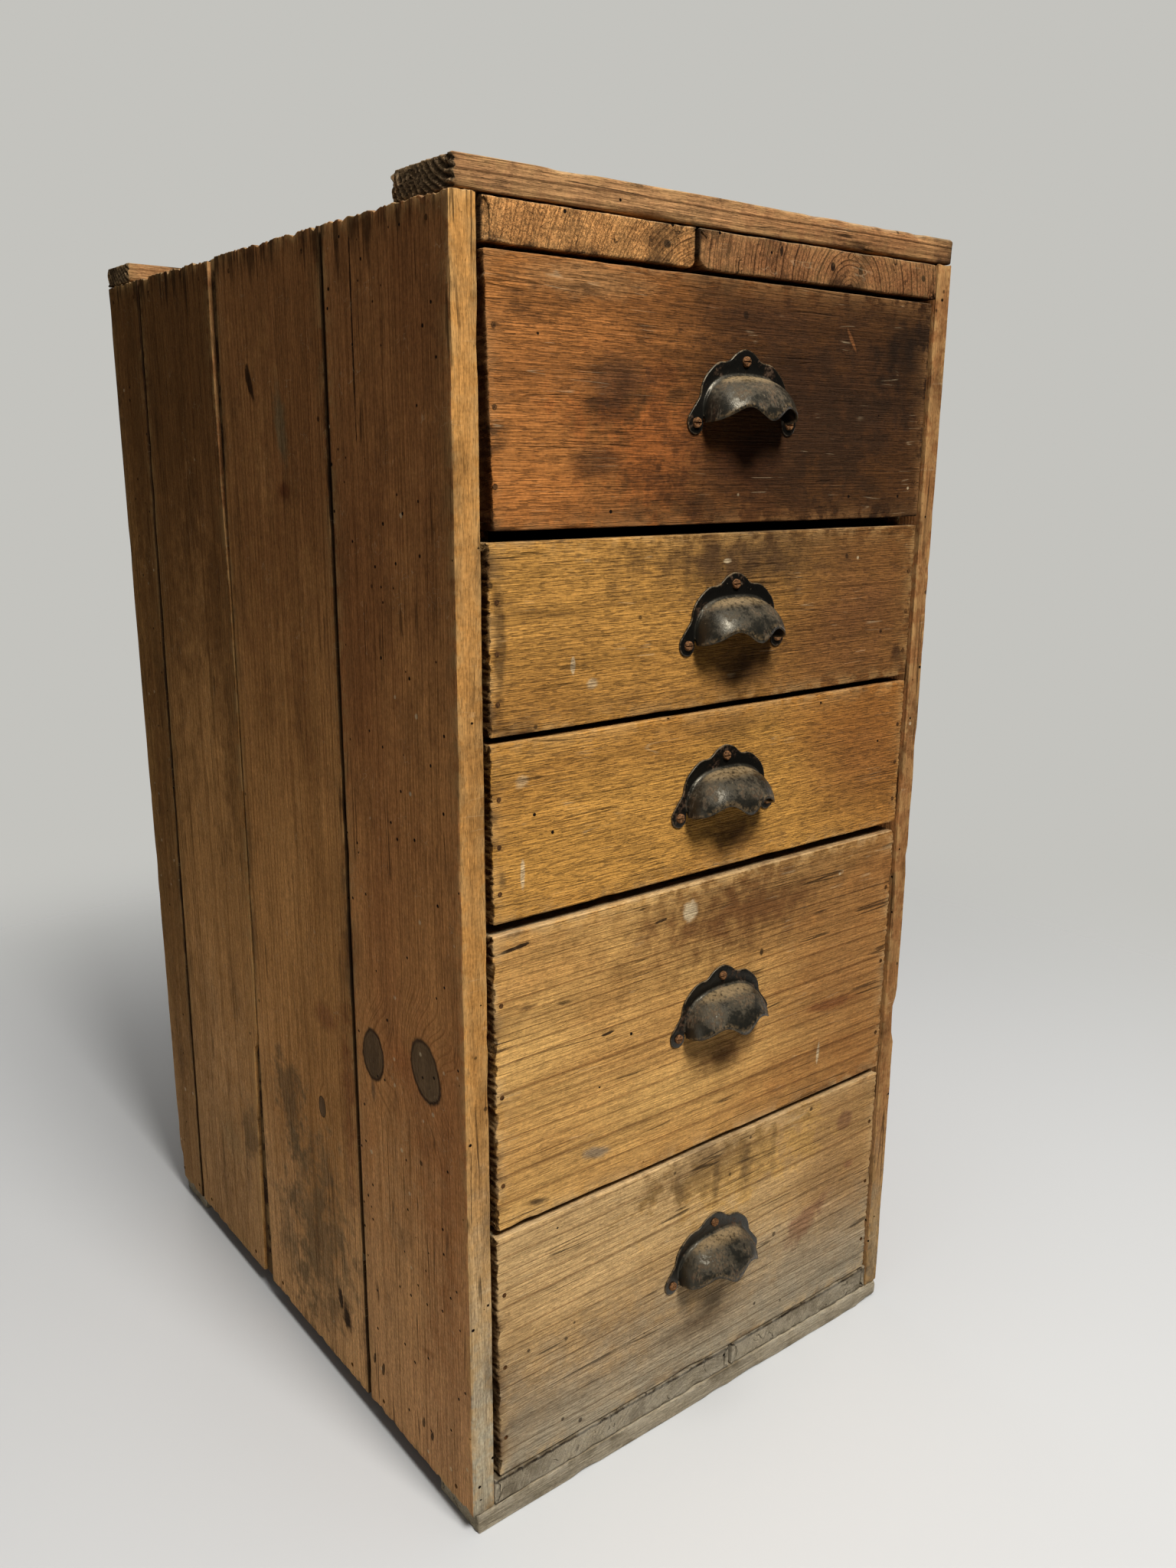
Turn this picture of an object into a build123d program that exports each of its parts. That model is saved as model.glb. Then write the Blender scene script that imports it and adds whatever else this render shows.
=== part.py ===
from build123d import *
import os

# Carcass: the outer box of boards, without its battens and the pulls
carcass_width = 420.0
carcass_depth = 533.0
left_side_thickness = 17.5
right_side_thickness = 14.5
top_thickness = 24.5
bottom_thickness = 21.0
back_thickness = 12.0
back_board_count = 4
board_joint_gap = 1.5

# Each side is four upright planks; the joints between them run a little aslant,
# and are placed as shares of the depth behind the front edge
side_joint_top_shares = [0.272, 0.582, 0.867]
side_joint_bottom_shares = [0.272, 0.617, 0.897]
side_joint_gaps = [1.2, 7.0, 1.5]
tongue_thickness = 5.5
tongue_reach = 6.0
groove_clearance = 0.25

# The joint between the two top boards and between the two bottom boards, from the left
top_joint_share = 0.406
bottom_joint_share = 0.579

# Battens across the top and under the base
top_front_batten_width = 63.0
top_front_batten_thickness = 17.0
top_front_batten_inset = 2.5
top_rear_batten_width = 50.0
top_rear_batten_thickness = 14.5
base_batten_width = 50.0
base_batten_thickness = 16.0
base_batten_inset = 4.0
batten_round = 2.0

# Drawers from the top one down: height of each front and the gap above it
front_heights = [147.5, 112.0, 112.0, 204.0, 185.5]
front_gaps = [2.5, 6.0, 4.0, 7.0, 5.0]
front_thickness = 18.0
front_round = 1.2
drawer_side_gap = 4.0
drawer_side_thickness = 12.0
drawer_back_thickness = 12.0
drawer_bottom_thickness = 8.0
drawer_rear_gap = 15.0
running_clearance = 0.3

# Runners, one cleat at each side under every drawer but the lowest
runner_width = 18.0
runner_height = 22.0
runner_stop_gap = 0.5

# Pressed steel cup pull: its flange with three lugs, and its cup
pull_sheet = 1.2
pull_screw_spacing = 82.0
pull_top_screw_rise = 37.5
pull_lug_radius = 7.0
pull_lug_overhang = 2.5
pull_top_lug_overhang = 1.0
pull_flange_side = 21.5
pull_side_rim = 2.5
pull_top_rim = 7.5
pull_neck_radius = 12.0
cup_end_radius = 6.0
lip_arch_rise = 9.5
lip_arch_share = 0.47
lip_lobe_rise = 1.0
lip_lobe_radius = 4.0

# Where each pull sits on its front, from the front's middle: to the right, and down to its screw line
pull_offsets = [6.0, 4.0, 1.0, 5.0, 6.0]
pull_drops = [12.0, 14.5, 13.5, 10.0, 10.5]

# Slotted screws of the pulls, and wire nails everywhere else
screw_head_radius = 3.2
screw_head_height = 2.0
screw_radius = 1.8
screw_clearance = 0.3
screw_length = 14.0
screw_slot_width = 0.9
screw_slot_depth = 0.9
nail_head_radius = 1.6
nail_head_height = 0.8
nail_radius = 0.9
nail_bite = 18.0
front_nail_shares = [0.14, 0.5, 0.86]
edge_nail_shares = [0.15, 0.85]
back_nail_shares = [0.35, 0.75]
batten_nail_shares = [-0.36, -0.16, 0.16, 0.36]
runner_nail_shares = [0.1, 0.5, 0.9]

# What cuts run past the solid that they cut
overrun = 5.0

# Sizes of a pull that follow from its screws, lugs and rims
pull_flange_width = pull_screw_spacing - 2 * pull_lug_overhang
pull_flange_rise = pull_top_screw_rise - pull_top_lug_overhang
pull_shoulder_radius = pull_flange_rise - pull_flange_side
pull_hole_radius = screw_radius + screw_clearance
cup_width = pull_flange_width - 2 * pull_side_rim
cup_reach = pull_flange_rise - pull_top_rim
cup_corner_radius = cup_reach - cup_end_radius

# Places that follow from the sizes: the origin is under the middle of the whole footprint,
# which the cups of the pulls lengthen at the front
front_y = (cup_reach - carcass_depth) / 2
rear_y = front_y + carcass_depth
left_x = -carcass_width / 2
right_x = carcass_width / 2
opening_left_x = left_x + left_side_thickness
opening_right_x = right_x - right_side_thickness
opening_width = opening_right_x - opening_left_x
opening_middle_x = (opening_left_x + opening_right_x) / 2
back_front_y = rear_y - back_thickness
side_height = (bottom_thickness + running_clearance + sum(front_heights) + sum(front_gaps)
               + top_thickness)
base_z = base_batten_thickness
floor_z = base_z + bottom_thickness
side_top_z = base_z + side_height
ceiling_z = side_top_z - top_thickness

drawer_left_x = opening_left_x + drawer_side_gap
drawer_right_x = opening_right_x - drawer_side_gap
front_back_y = front_y + front_thickness
drawer_rear_y = back_front_y - drawer_rear_gap
runner_front_y = front_back_y + runner_stop_gap
runner_length = back_front_y - runner_front_y


def keep(piece, label):
    """Name a finished piece and write it out."""
    piece.part.label = label
    export_step(piece.part, f"parts/{label}.step")


def plank(low, high):
    """A straight board between its lowest and its highest corner."""
    size = high - low
    middle = (low + high) / 2
    with BuildPart() as board:
        with BuildSketch(Plane(origin=(middle.X, middle.Y, low.Z))):
            Rectangle(size.X, size.Y)
        extrude(amount=size.Z)
    return board


def batten(low, high, label):
    """A board laid from side to side, its long edges rounded by wear."""
    with BuildPart() as strip:
        add(plank(low, high).part)
        fillet(strip.edges().filter_by(Axis.X), radius=batten_round)
    keep(strip, label)


def nails(plane, places, length):
    """Wire nails driven along a plane's normal, their heads level with the plane."""
    with BuildPart() as set_of_nails:
        with BuildSketch(plane):
            with Locations(*places):
                Circle(nail_head_radius)
        extrude(amount=nail_head_height)
        with BuildSketch(plane):
            with Locations(*places):
                Circle(nail_radius)
        extrude(amount=length)
    return set_of_nails.part


def plank_edges():
    """Front and rear edge of each side plank, as (bottom y, top y) pairs."""
    fronts = [(front_y, front_y)]
    rears = []
    for bottom_share, top_share, gap in zip(side_joint_bottom_shares, side_joint_top_shares,
                                            side_joint_gaps):
        bottom_y = front_y + bottom_share * carcass_depth
        top_y = front_y + top_share * carcass_depth
        rears.append((bottom_y - gap / 2, top_y - gap / 2))
        fronts.append((bottom_y + gap / 2, top_y + gap / 2))
    rears.append((rear_y, rear_y))
    return list(zip(fronts, rears))


def upright(front_edge, rear_edge):
    """Corners of an upright strip between two slightly slanting edges."""
    return [(front_edge[0], base_z), (rear_edge[0], base_z), (rear_edge[1], side_top_z),
            (front_edge[1], side_top_z)]


def side_boards(side, outer_x, thickness):
    """The four planks of one side; each has a tongue at its front edge, in the groove of the next."""
    tongue_x = outer_x + (thickness - tongue_thickness) / 2
    groove_x = tongue_x - groove_clearance
    groove_thickness = tongue_thickness + 2 * groove_clearance
    edges = plank_edges()
    for number, (front_edge, rear_edge) in enumerate(edges, start=1):
        with BuildPart() as board:
            with BuildSketch(Plane.YZ.offset(outer_x)):
                Polygon(*upright(front_edge, rear_edge), align=None)
            extrude(amount=thickness)
            if number > 1:
                reach = side_joint_gaps[number - 2] + tongue_reach
                tip = (front_edge[0] - reach, front_edge[1] - reach)
                with BuildSketch(Plane.YZ.offset(tongue_x)):
                    Polygon(*upright(tip, front_edge), align=None)
                extrude(amount=tongue_thickness)
            if number < len(edges):
                depth = tongue_reach + groove_clearance
                root = (rear_edge[0] - depth, rear_edge[1] - depth)
                with BuildSketch(Plane.YZ.offset(groove_x)):
                    Polygon(*upright(root, rear_edge), align=None)
                extrude(amount=groove_thickness, mode=Mode.SUBTRACT)
        keep(board, f"{side}_side_board_{number}")


def paired_boards(name, low_z, high_z, joint_share):
    """The two boards of the top or of the bottom, side by side from front to back."""
    joint_x = opening_left_x + joint_share * opening_width
    left_end_x = joint_x - board_joint_gap / 2
    right_start_x = joint_x + board_joint_gap / 2
    left_board = plank(Vector(opening_left_x, front_y, low_z), Vector(left_end_x, back_front_y, high_z))
    keep(left_board, f"{name}_board_left")
    right_board = plank(Vector(right_start_x, front_y, low_z), Vector(opening_right_x, back_front_y, high_z))
    keep(right_board, f"{name}_board_right")


def back_boards():
    """Upright boards let in between the sides, behind the top and the bottom."""
    pitch = (opening_width + board_joint_gap) / back_board_count
    for number in range(back_board_count):
        board_x = opening_left_x + number * pitch
        board = plank(Vector(board_x, back_front_y, base_z),
                      Vector(board_x + pitch - board_joint_gap, rear_y, side_top_z))
        keep(board, f"back_board_{number + 1}")


def battens():
    """Two battens across the top, two under the base."""
    top_front_z = side_top_z + top_front_batten_thickness
    top_rear_z = side_top_z + top_rear_batten_thickness
    batten(Vector(left_x + top_front_batten_inset, front_y, side_top_z),
           Vector(right_x, front_y + top_front_batten_width, top_front_z), "top_front_batten")
    batten(Vector(left_x, rear_y - top_rear_batten_width, side_top_z),
           Vector(right_x, rear_y, top_rear_z), "top_rear_batten")
    batten(Vector(left_x + base_batten_inset, front_y, 0),
           Vector(right_x, front_y + base_batten_width, base_z), "base_front_batten")
    batten(Vector(left_x + base_batten_inset, rear_y - base_batten_width, 0),
           Vector(right_x, rear_y, base_z), "base_rear_batten")


def front_levels():
    """Lowest and highest level of each drawer front, from the top drawer down."""
    levels = []
    top_z = ceiling_z
    for height, gap in zip(front_heights, front_gaps):
        top_z -= gap
        levels.append((top_z - height, top_z))
        top_z -= height
    return levels


def runner_pair(number, drawer_low_z):
    """The cleats inside the two sides that carry one drawer."""
    top_z = drawer_low_z - running_clearance
    low_z = top_z - runner_height
    with BuildPart() as pair:
        add(plank(Vector(opening_left_x, runner_front_y, low_z),
                  Vector(opening_left_x + runner_width, back_front_y, top_z)).part)
        add(plank(Vector(opening_right_x - runner_width, runner_front_y, low_z),
                  Vector(opening_right_x, back_front_y, top_z)).part)
    keep(pair, f"runner_pair_{number}")


def carcass_nails(levels):
    """Nails through the sides, the back, the battens and the runners."""
    top_middle_z = side_top_z - top_thickness / 2
    bottom_middle_z = base_z + bottom_thickness / 2
    side_places = []
    for front_edge, rear_edge in plank_edges():
        for share in edge_nail_shares:
            low_y = front_edge[0] + share * (rear_edge[0] - front_edge[0])
            high_y = front_edge[1] + share * (rear_edge[1] - front_edge[1])
            side_places.append((low_y, bottom_middle_z))
            side_places.append((high_y, top_middle_z))
    mirrored_places = [(-y, z) for y, z in side_places]

    back_places = []
    pitch = (opening_width + board_joint_gap) / back_board_count
    for number in range(back_board_count):
        for share in back_nail_shares:
            nail_x = opening_left_x + (number + share) * pitch
            back_places.append((nail_x, bottom_middle_z))
            back_places.append((nail_x, top_middle_z))

    runner_places = []
    for drawer_low_z, _ in levels[:-1]:
        for share in runner_nail_shares:
            nail_y = runner_front_y + share * runner_length
            runner_places.append((nail_y, drawer_low_z - running_clearance - runner_height / 2))
    mirrored_runner_places = [(-y, z) for y, z in runner_places]

    batten_places = [(share * carcass_width, 0) for share in batten_nail_shares]
    left_face = Plane(origin=(left_x, 0, 0), x_dir=(0, 1, 0), z_dir=(1, 0, 0))
    right_face = Plane(origin=(right_x, 0, 0), x_dir=(0, -1, 0), z_dir=(-1, 0, 0))
    back_face = Plane(origin=(0, rear_y, 0), x_dir=(1, 0, 0), z_dir=(0, -1, 0))
    left_runner_face = Plane(origin=(opening_left_x + runner_width, 0, 0), x_dir=(0, -1, 0),
                             z_dir=(-1, 0, 0))
    right_runner_face = Plane(origin=(opening_right_x - runner_width, 0, 0), x_dir=(0, 1, 0),
                              z_dir=(1, 0, 0))
    top_front_middle_y = front_y + top_front_batten_width / 2
    top_rear_middle_y = rear_y - top_rear_batten_width / 2
    base_front_middle_y = front_y + base_batten_width / 2
    base_rear_middle_y = rear_y - base_batten_width / 2
    top_front_z = side_top_z + top_front_batten_thickness
    top_rear_z = side_top_z + top_rear_batten_thickness
    top_front_face = Plane(origin=(0, top_front_middle_y, top_front_z), x_dir=(1, 0, 0), z_dir=(0, 0, -1))
    top_rear_face = Plane(origin=(0, top_rear_middle_y, top_rear_z), x_dir=(1, 0, 0), z_dir=(0, 0, -1))
    base_front_face = Plane(origin=(0, base_front_middle_y, 0))
    base_rear_face = Plane(origin=(0, base_rear_middle_y, 0))
    runner_bite = min(left_side_thickness, right_side_thickness) / 2
    batten_bite = min(top_thickness, bottom_thickness) / 2
    with BuildPart() as all_nails:
        add(nails(left_face, side_places, left_side_thickness + nail_bite))
        add(nails(right_face, mirrored_places, right_side_thickness + nail_bite))
        add(nails(back_face, back_places, back_thickness + nail_bite))
        add(nails(left_runner_face, mirrored_runner_places, runner_width + runner_bite))
        add(nails(right_runner_face, runner_places, runner_width + runner_bite))
        add(nails(top_front_face, batten_places, top_front_batten_thickness + batten_bite))
        add(nails(top_rear_face, batten_places, top_rear_batten_thickness + batten_bite))
        add(nails(base_front_face, batten_places, base_batten_thickness + batten_bite))
        add(nails(base_rear_face, batten_places, base_batten_thickness + batten_bite))
    keep(all_nails, "carcass_nails")


def cup_outline(wall):
    """Half outline of the cup against the wood, with rounded shoulders, drawn in by a wall."""
    with BuildSketch(mode=Mode.PRIVATE) as half:
        Rectangle(cup_width - 2 * wall, cup_reach - wall, align=(Align.CENTER, Align.MIN))
        shoulders = half.vertices().group_by(Axis.Y)[-1]
        fillet(shoulders, radius=cup_corner_radius - wall)
    return half.sketch


def pull(face, screw_places, label):
    """A cup pull: the cup, with two finger arches in its lip, on a flange with three lugs."""
    half_width = cup_width / 2
    arch_x = lip_arch_share * half_width
    past_x = half_width + overrun
    flange_edge = pull_flange_width / 2
    with BuildPart() as handle:
        with BuildSketch(face):
            add(cup_outline(0))
            add(cup_outline(pull_sheet), mode=Mode.SUBTRACT)
        revolve(axis=Axis(face.origin, face.x_dir), revolution_arc=90)
        with BuildSketch(face) as below_lip:
            with BuildLine():
                ThreePointArc((-half_width, 0), (-arch_x, lip_arch_rise), (0, lip_lobe_rise))
                ThreePointArc((0, lip_lobe_rise), (arch_x, lip_arch_rise), (half_width, 0))
                Polyline((half_width, 0), (past_x, 0), (past_x, -overrun), (-past_x, -overrun),
                         (-past_x, 0), (-half_width, 0))
            make_face()
            lobe_tip = below_lip.vertices().sort_by_distance((0, lip_lobe_rise))[0]
            fillet(lobe_tip, radius=lip_lobe_radius)
        extrude(amount=cup_reach + overrun, mode=Mode.SUBTRACT)
        with BuildSketch(face) as flange:
            Rectangle(pull_flange_width, pull_flange_rise, align=(Align.CENTER, Align.MIN))
            fillet(flange.vertices().group_by(Axis.Y)[-1], radius=pull_shoulder_radius)
            with Locations(*screw_places):
                Circle(pull_lug_radius)
            for neck in [(-flange_edge, pull_lug_radius), (flange_edge, pull_lug_radius),
                         (-pull_lug_radius, pull_flange_rise), (pull_lug_radius, pull_flange_rise)]:
                fillet(flange.vertices().sort_by_distance(neck)[0], radius=pull_neck_radius)
            add(cup_outline(pull_sheet), mode=Mode.SUBTRACT)
            with Locations(*screw_places):
                Circle(pull_hole_radius, mode=Mode.SUBTRACT)
        extrude(amount=pull_sheet)
    keep(handle, label)


def screw(face, place):
    """A slotted round-head screw through a lug of the pull into the front."""
    seat = face.offset(pull_sheet)
    with BuildPart() as fastener:
        with BuildSketch(seat):
            with Locations(place):
                Circle(screw_head_radius)
        extrude(amount=screw_head_height)
        fillet(fastener.faces().sort_by(Axis.Y)[0].edges(), radius=screw_head_height - screw_slot_depth)
        with BuildSketch(seat.offset(screw_head_height)):
            with Locations(place):
                Rectangle(2 * screw_head_radius, screw_slot_width)
        extrude(amount=-screw_slot_depth, mode=Mode.SUBTRACT)
        with BuildSketch(seat):
            with Locations(place):
                Circle(screw_radius)
        extrude(amount=-screw_length)
    return fastener.part


def drawer(number, low_z, high_z, pull_offset, pull_drop):
    """One drawer: its front, box, pull and fasteners."""
    name = f"drawer_{number}"
    box_z = low_z + drawer_bottom_thickness
    side_high_z = high_z - runner_height
    inner_left_x = drawer_left_x + drawer_side_thickness
    inner_right_x = drawer_right_x - drawer_side_thickness

    with BuildPart() as front:
        add(plank(Vector(drawer_left_x, front_y, low_z), Vector(drawer_right_x, front_back_y, high_z)).part)
        fillet(front.faces().sort_by(Axis.Y)[0].edges(), radius=front_round)
    keep(front, f"{name}_front")
    keep(plank(Vector(drawer_left_x, front_back_y, box_z),
               Vector(inner_left_x, drawer_rear_y, side_high_z)), f"{name}_side_left")
    keep(plank(Vector(inner_right_x, front_back_y, box_z),
               Vector(drawer_right_x, drawer_rear_y, side_high_z)), f"{name}_side_right")
    keep(plank(Vector(inner_left_x, drawer_rear_y - drawer_back_thickness, box_z),
               Vector(inner_right_x, drawer_rear_y, side_high_z)), f"{name}_back")
    keep(plank(Vector(drawer_left_x, front_back_y, low_z),
               Vector(drawer_right_x, drawer_rear_y, box_z)), f"{name}_bottom")

    pull_face = Plane(origin=(opening_middle_x + pull_offset, front_y, (low_z + high_z) / 2 - pull_drop),
                      x_dir=(1, 0, 0), z_dir=(0, -1, 0))
    screw_places = [(-pull_screw_spacing / 2, 0), (pull_screw_spacing / 2, 0), (0, pull_top_screw_rise)]
    pull(pull_face, screw_places, f"{name}_pull")

    side_middle_shift = drawer_side_thickness / 2
    side_height_here = side_high_z - box_z
    drawer_length = drawer_rear_y - front_back_y
    front_places = []
    back_places = []
    bottom_places = []
    for share in front_nail_shares:
        nail_z = box_z + share * side_height_here
        front_places.append((drawer_left_x + side_middle_shift, nail_z))
        front_places.append((drawer_right_x - side_middle_shift, nail_z))
        back_places.append((drawer_rear_y - drawer_back_thickness / 2, nail_z))
        nail_y = front_back_y + share * drawer_length
        bottom_places.append((drawer_left_x + side_middle_shift, nail_y))
        bottom_places.append((drawer_right_x - side_middle_shift, nail_y))
    mirrored_back_places = [(-y, z) for y, z in back_places]
    front_face = Plane(origin=(0, front_y, 0), x_dir=(1, 0, 0), z_dir=(0, 1, 0))
    turned_front_places = [(x, -z) for x, z in front_places]
    left_face = Plane(origin=(drawer_left_x, 0, 0), x_dir=(0, 1, 0), z_dir=(1, 0, 0))
    right_face = Plane(origin=(drawer_right_x, 0, 0), x_dir=(0, -1, 0), z_dir=(-1, 0, 0))
    with BuildPart() as fasteners:
        for place in screw_places:
            add(screw(pull_face, place))
        add(nails(front_face, turned_front_places, front_thickness + nail_bite))
        add(nails(left_face, back_places, drawer_side_thickness + nail_bite))
        add(nails(right_face, mirrored_back_places, drawer_side_thickness + nail_bite))
        add(nails(Plane.XY.offset(low_z), bottom_places, drawer_bottom_thickness + nail_bite))
    keep(fasteners, f"{name}_fasteners")


os.makedirs("parts", exist_ok=True)
side_boards("left", left_x, left_side_thickness)
side_boards("right", opening_right_x, right_side_thickness)
paired_boards("top", ceiling_z, side_top_z, top_joint_share)
paired_boards("bottom", base_z, floor_z, bottom_joint_share)
back_boards()
battens()
drawer_levels = front_levels()
for runner_number, (runner_level_z, _) in enumerate(drawer_levels[:-1], start=1):
    runner_pair(runner_number, runner_level_z)
carcass_nails(drawer_levels)
for drawer_number, (drawer_levels_pair, offset, drop) in enumerate(
        zip(drawer_levels, pull_offsets, pull_drops), start=1):
    drawer(drawer_number, drawer_levels_pair[0], drawer_levels_pair[1], offset, drop)
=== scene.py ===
import math
from dataclasses import dataclass, replace

import bmesh
import bpy
import numpy as np
from mathutils import Matrix, Vector


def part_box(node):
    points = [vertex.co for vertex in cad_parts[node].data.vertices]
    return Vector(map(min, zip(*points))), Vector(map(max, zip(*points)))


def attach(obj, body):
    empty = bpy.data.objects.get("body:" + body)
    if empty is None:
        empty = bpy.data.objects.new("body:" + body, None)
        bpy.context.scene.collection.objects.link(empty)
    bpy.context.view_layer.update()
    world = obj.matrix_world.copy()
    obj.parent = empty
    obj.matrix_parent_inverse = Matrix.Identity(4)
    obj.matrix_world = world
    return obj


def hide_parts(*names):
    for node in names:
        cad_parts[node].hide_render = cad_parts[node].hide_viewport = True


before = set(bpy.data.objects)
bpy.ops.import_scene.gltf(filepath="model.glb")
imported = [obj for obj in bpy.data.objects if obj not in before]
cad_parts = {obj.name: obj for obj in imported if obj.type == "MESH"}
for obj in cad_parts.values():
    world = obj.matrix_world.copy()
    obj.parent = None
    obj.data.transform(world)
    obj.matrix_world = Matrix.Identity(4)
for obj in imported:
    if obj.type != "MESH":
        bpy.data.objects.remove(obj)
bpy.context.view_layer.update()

# Lengths are in millimetres and colours from 0 to 255, as on a screen, unless a heading says otherwise
MM = 0.001
X, Y, Z = 0, 1, 2
SIDE_BOARDS = range(1, 5)
DRAWERS = range(1, 6)
# Near black: soot, cracks, holes, knot rims and streaks, and also painted shade in gaps, joints, seams and
# grooves
SOOT_AND_SHADE = (34, 23, 15)
CREAM = (208, 184, 144)

# Camera, in metres: where it stands, how it is turned, and its focal length on a 36 mm sensor
CAMERA_PLACE = Vector((-0.5812, -0.8441, 0.7136))
CAMERA_RIGHT = Vector((0.787285, -0.616549, 0.007083))
CAMERA_FORWARD = Vector((0.597932, 0.760607, -0.252893))
CAMERA_LENS = 28.73
CAMERA_NEAR = 0.01

# Light, in metres and linear colours: lamps as (place, size, power), a faint sky and a floor that fades out
LAMPS = {"key": ((-0.22, -1.75, 2.55), 0.8, 95.0), "top": ((-0.1, -0.5, 3.2), 1.4, 22.0),
         "left": ((-2.0, -0.5, 0.22), 1.0, 4.2), "right": ((2.1, 0.1, 0.4), 1.0, 6.0),
         "rear": ((0.4, 2.3, 0.4), 1.0, 9.0)}
LAMP_TARGET = Vector((0.0, -0.2, 0.42))
SKY_COLOUR = (1.0, 1.0, 1.0, 1.0)
SKY_STRENGTH = 0.14
BACKGROUND = (0.55, 0.545, 0.515, 1.0)
FLOOR_COLOUR = (0.58, 0.577, 0.562, 1.0)
FLOOR_ROUGHNESS = 0.7
FLOOR_RADIUS = 1.6
FLOOR_SEGMENTS = 96
FLOOR_FADE_SHARES = (0.38, 0.95)

# Noise for the wear of the meshes
NOISE_CELLS = 32


def columns(*parts):
    """Arrays side by side along a new last axis, stretched to one shape."""
    return np.stack(np.broadcast_arrays(*parts), axis=-1)


def between(bounds, share):
    """The value a share of the way from one bound to the other."""
    return bounds[0] + (bounds[1] - bounds[0]) * share


def noise(points, seed):
    """Smooth noise between 0 and 1 at points given in cells."""
    table = np.random.default_rng(seed).random((NOISE_CELLS,) * 3)
    base = np.floor(points).astype(int)
    part = points - base
    part = part * part * (3 - 2 * part)
    total = np.zeros(points.shape[:-1])
    for corner in np.ndindex(2, 2, 2):
        cell = (base + np.array(corner)) % NOISE_CELLS
        weight = np.prod(np.where(corner, part, 1 - part), axis=-1)
        total += weight * table[cell[..., X], cell[..., Y], cell[..., Z]]
    return total


def line_noise(places, seed):
    """Smooth noise along a line, at places given in cells."""
    return noise(columns(places, 0, 0), seed)


# Planks: rounded sections along the grain, worn inwards, with closed ends
CORNERS = ((-1, -1), (1, -1), (1, 1), (-1, 1))
ARC_POINTS = 5
ARC_MIDDLE = ARC_POINTS // 2
LEAST_STEPS = 4
LEAST_COUNTS = (2, 1)
END_ROUNDING = (0.0, 0.12, 0.4)
CAP_SHARES = (0.4,)
RIDGED_CAP_SHARES = tuple(np.linspace(0.08, 0.92, 10))
EDGE_REACH = 5
EDGE_LIMIT_SHARE = 0.46
JOINT_REACH = 2
RADIUS_CELL = 30
RADIUS_RANGE = (0.55, 1.45)
CHIP_HALVES = (4, 20)
CHIP_DEPTHS = (0.3, 1.0)
TEAR_CELL = 6
TEAR_RANGE = (0.75, 1.25)
FACE_CELLS = (20, 120)
FACE_RANGE = (0.3, 1.0)
NOTCH_CELL = 9
NOTCH_START = 0.6
NOTCH_STEEPNESS = 3
NOTCH_SEED = 5
TOOTH_CELL = 1.6
RAGGED_REACH = 14
RIDGE_RING = 4.2
RIDGE_PITH = (-38, 34)
RIDGE_WOBBLE = 0.5
RIDGE_SOFT_SHARE = 0.7
RIDGE_FADE = 1.5
NO_TRIM = ((0, 0), (1, 0))


@dataclass
class Wear:
    """How a plank is worn: the sizes of what is lost, and the spacing of the mesh."""
    edge: float = 1.4
    end: float = 1.2
    ragged: float = 0.8
    notch_share: float = 0.3
    face: float = 0.3
    chip: float = 3
    chip_count: int = 5
    step: float = 5
    across: float = 12


@dataclass
class Bite:
    """A larger piece broken off one long edge: which corner, where along it, how long and how deep."""
    corner: int
    share: float
    length: float
    depth: float


@dataclass
class Plank:
    """A plank between two end sections, each a lowest and a highest corner, with its grain along one axis.
    The trims cut back its low and its high edge, as (share of the length, depth) pairs, the lean cuts its
    first end aslant, and the ridge is how deep the soft rings of that end are worn away."""
    start: np.ndarray
    end: np.ndarray
    grain: int
    seed: int
    wear: Wear
    bites: tuple = ()
    low_trim: tuple = NO_TRIM
    high_trim: tuple = NO_TRIM
    lean: float = 0.0
    ridge: float = 0.0


def cross_axes(plank):
    """The axes across a plank's width and through its thickness."""
    size = plank.start[1] - plank.start[0]
    others = [axis for axis in (X, Y, Z) if axis != plank.grain]
    return sorted(others, key=lambda axis: -size[axis])


def lengthwise(length, wear):
    """Places along a plank, close together where its ends are rounded."""
    rounding = wear.end * np.array(END_ROUNDING)
    middle = np.linspace(wear.end, length - wear.end, max(LEAST_STEPS, int(length / wear.step)))
    return np.concatenate([rounding, middle, length - rounding[::-1]])


def end_inset(places, length, radius):
    """How far the sections near the ends draw in to round the end edges."""
    depth = np.clip(np.minimum(places, length - places) / radius, 0, 1)
    return radius * (1 - np.sqrt(1 - (1 - depth) ** 2))


def edge_radii(plank, places, length, limit):
    """Radius of each long edge along a plank, larger where it is chipped."""
    rng = np.random.default_rng(plank.seed)
    wear = plank.wear
    torn = between(TEAR_RANGE, line_noise(places / TEAR_CELL, plank.seed))
    radii = np.empty((len(places), len(CORNERS)))
    for corner in range(len(CORNERS)):
        radius = wear.edge * between(RADIUS_RANGE, line_noise(places / RADIUS_CELL, plank.seed + corner))
        for _ in range(wear.chip_count):
            middle = rng.uniform(0, length)
            half = rng.uniform(*CHIP_HALVES)
            depth = wear.chip * rng.uniform(*CHIP_DEPTHS) ** 2
            radius += depth * np.clip(1 - ((places - middle) / half) ** 2, 0, None)
        for bite in plank.bites:
            if bite.corner == corner:
                offset = (places - bite.share * length) / (bite.length / 2)
                radius += bite.depth * torn * np.clip(1 - offset ** 4, 0, None)
        radii[:, corner] = np.minimum(radius, limit)
    return radii


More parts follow.
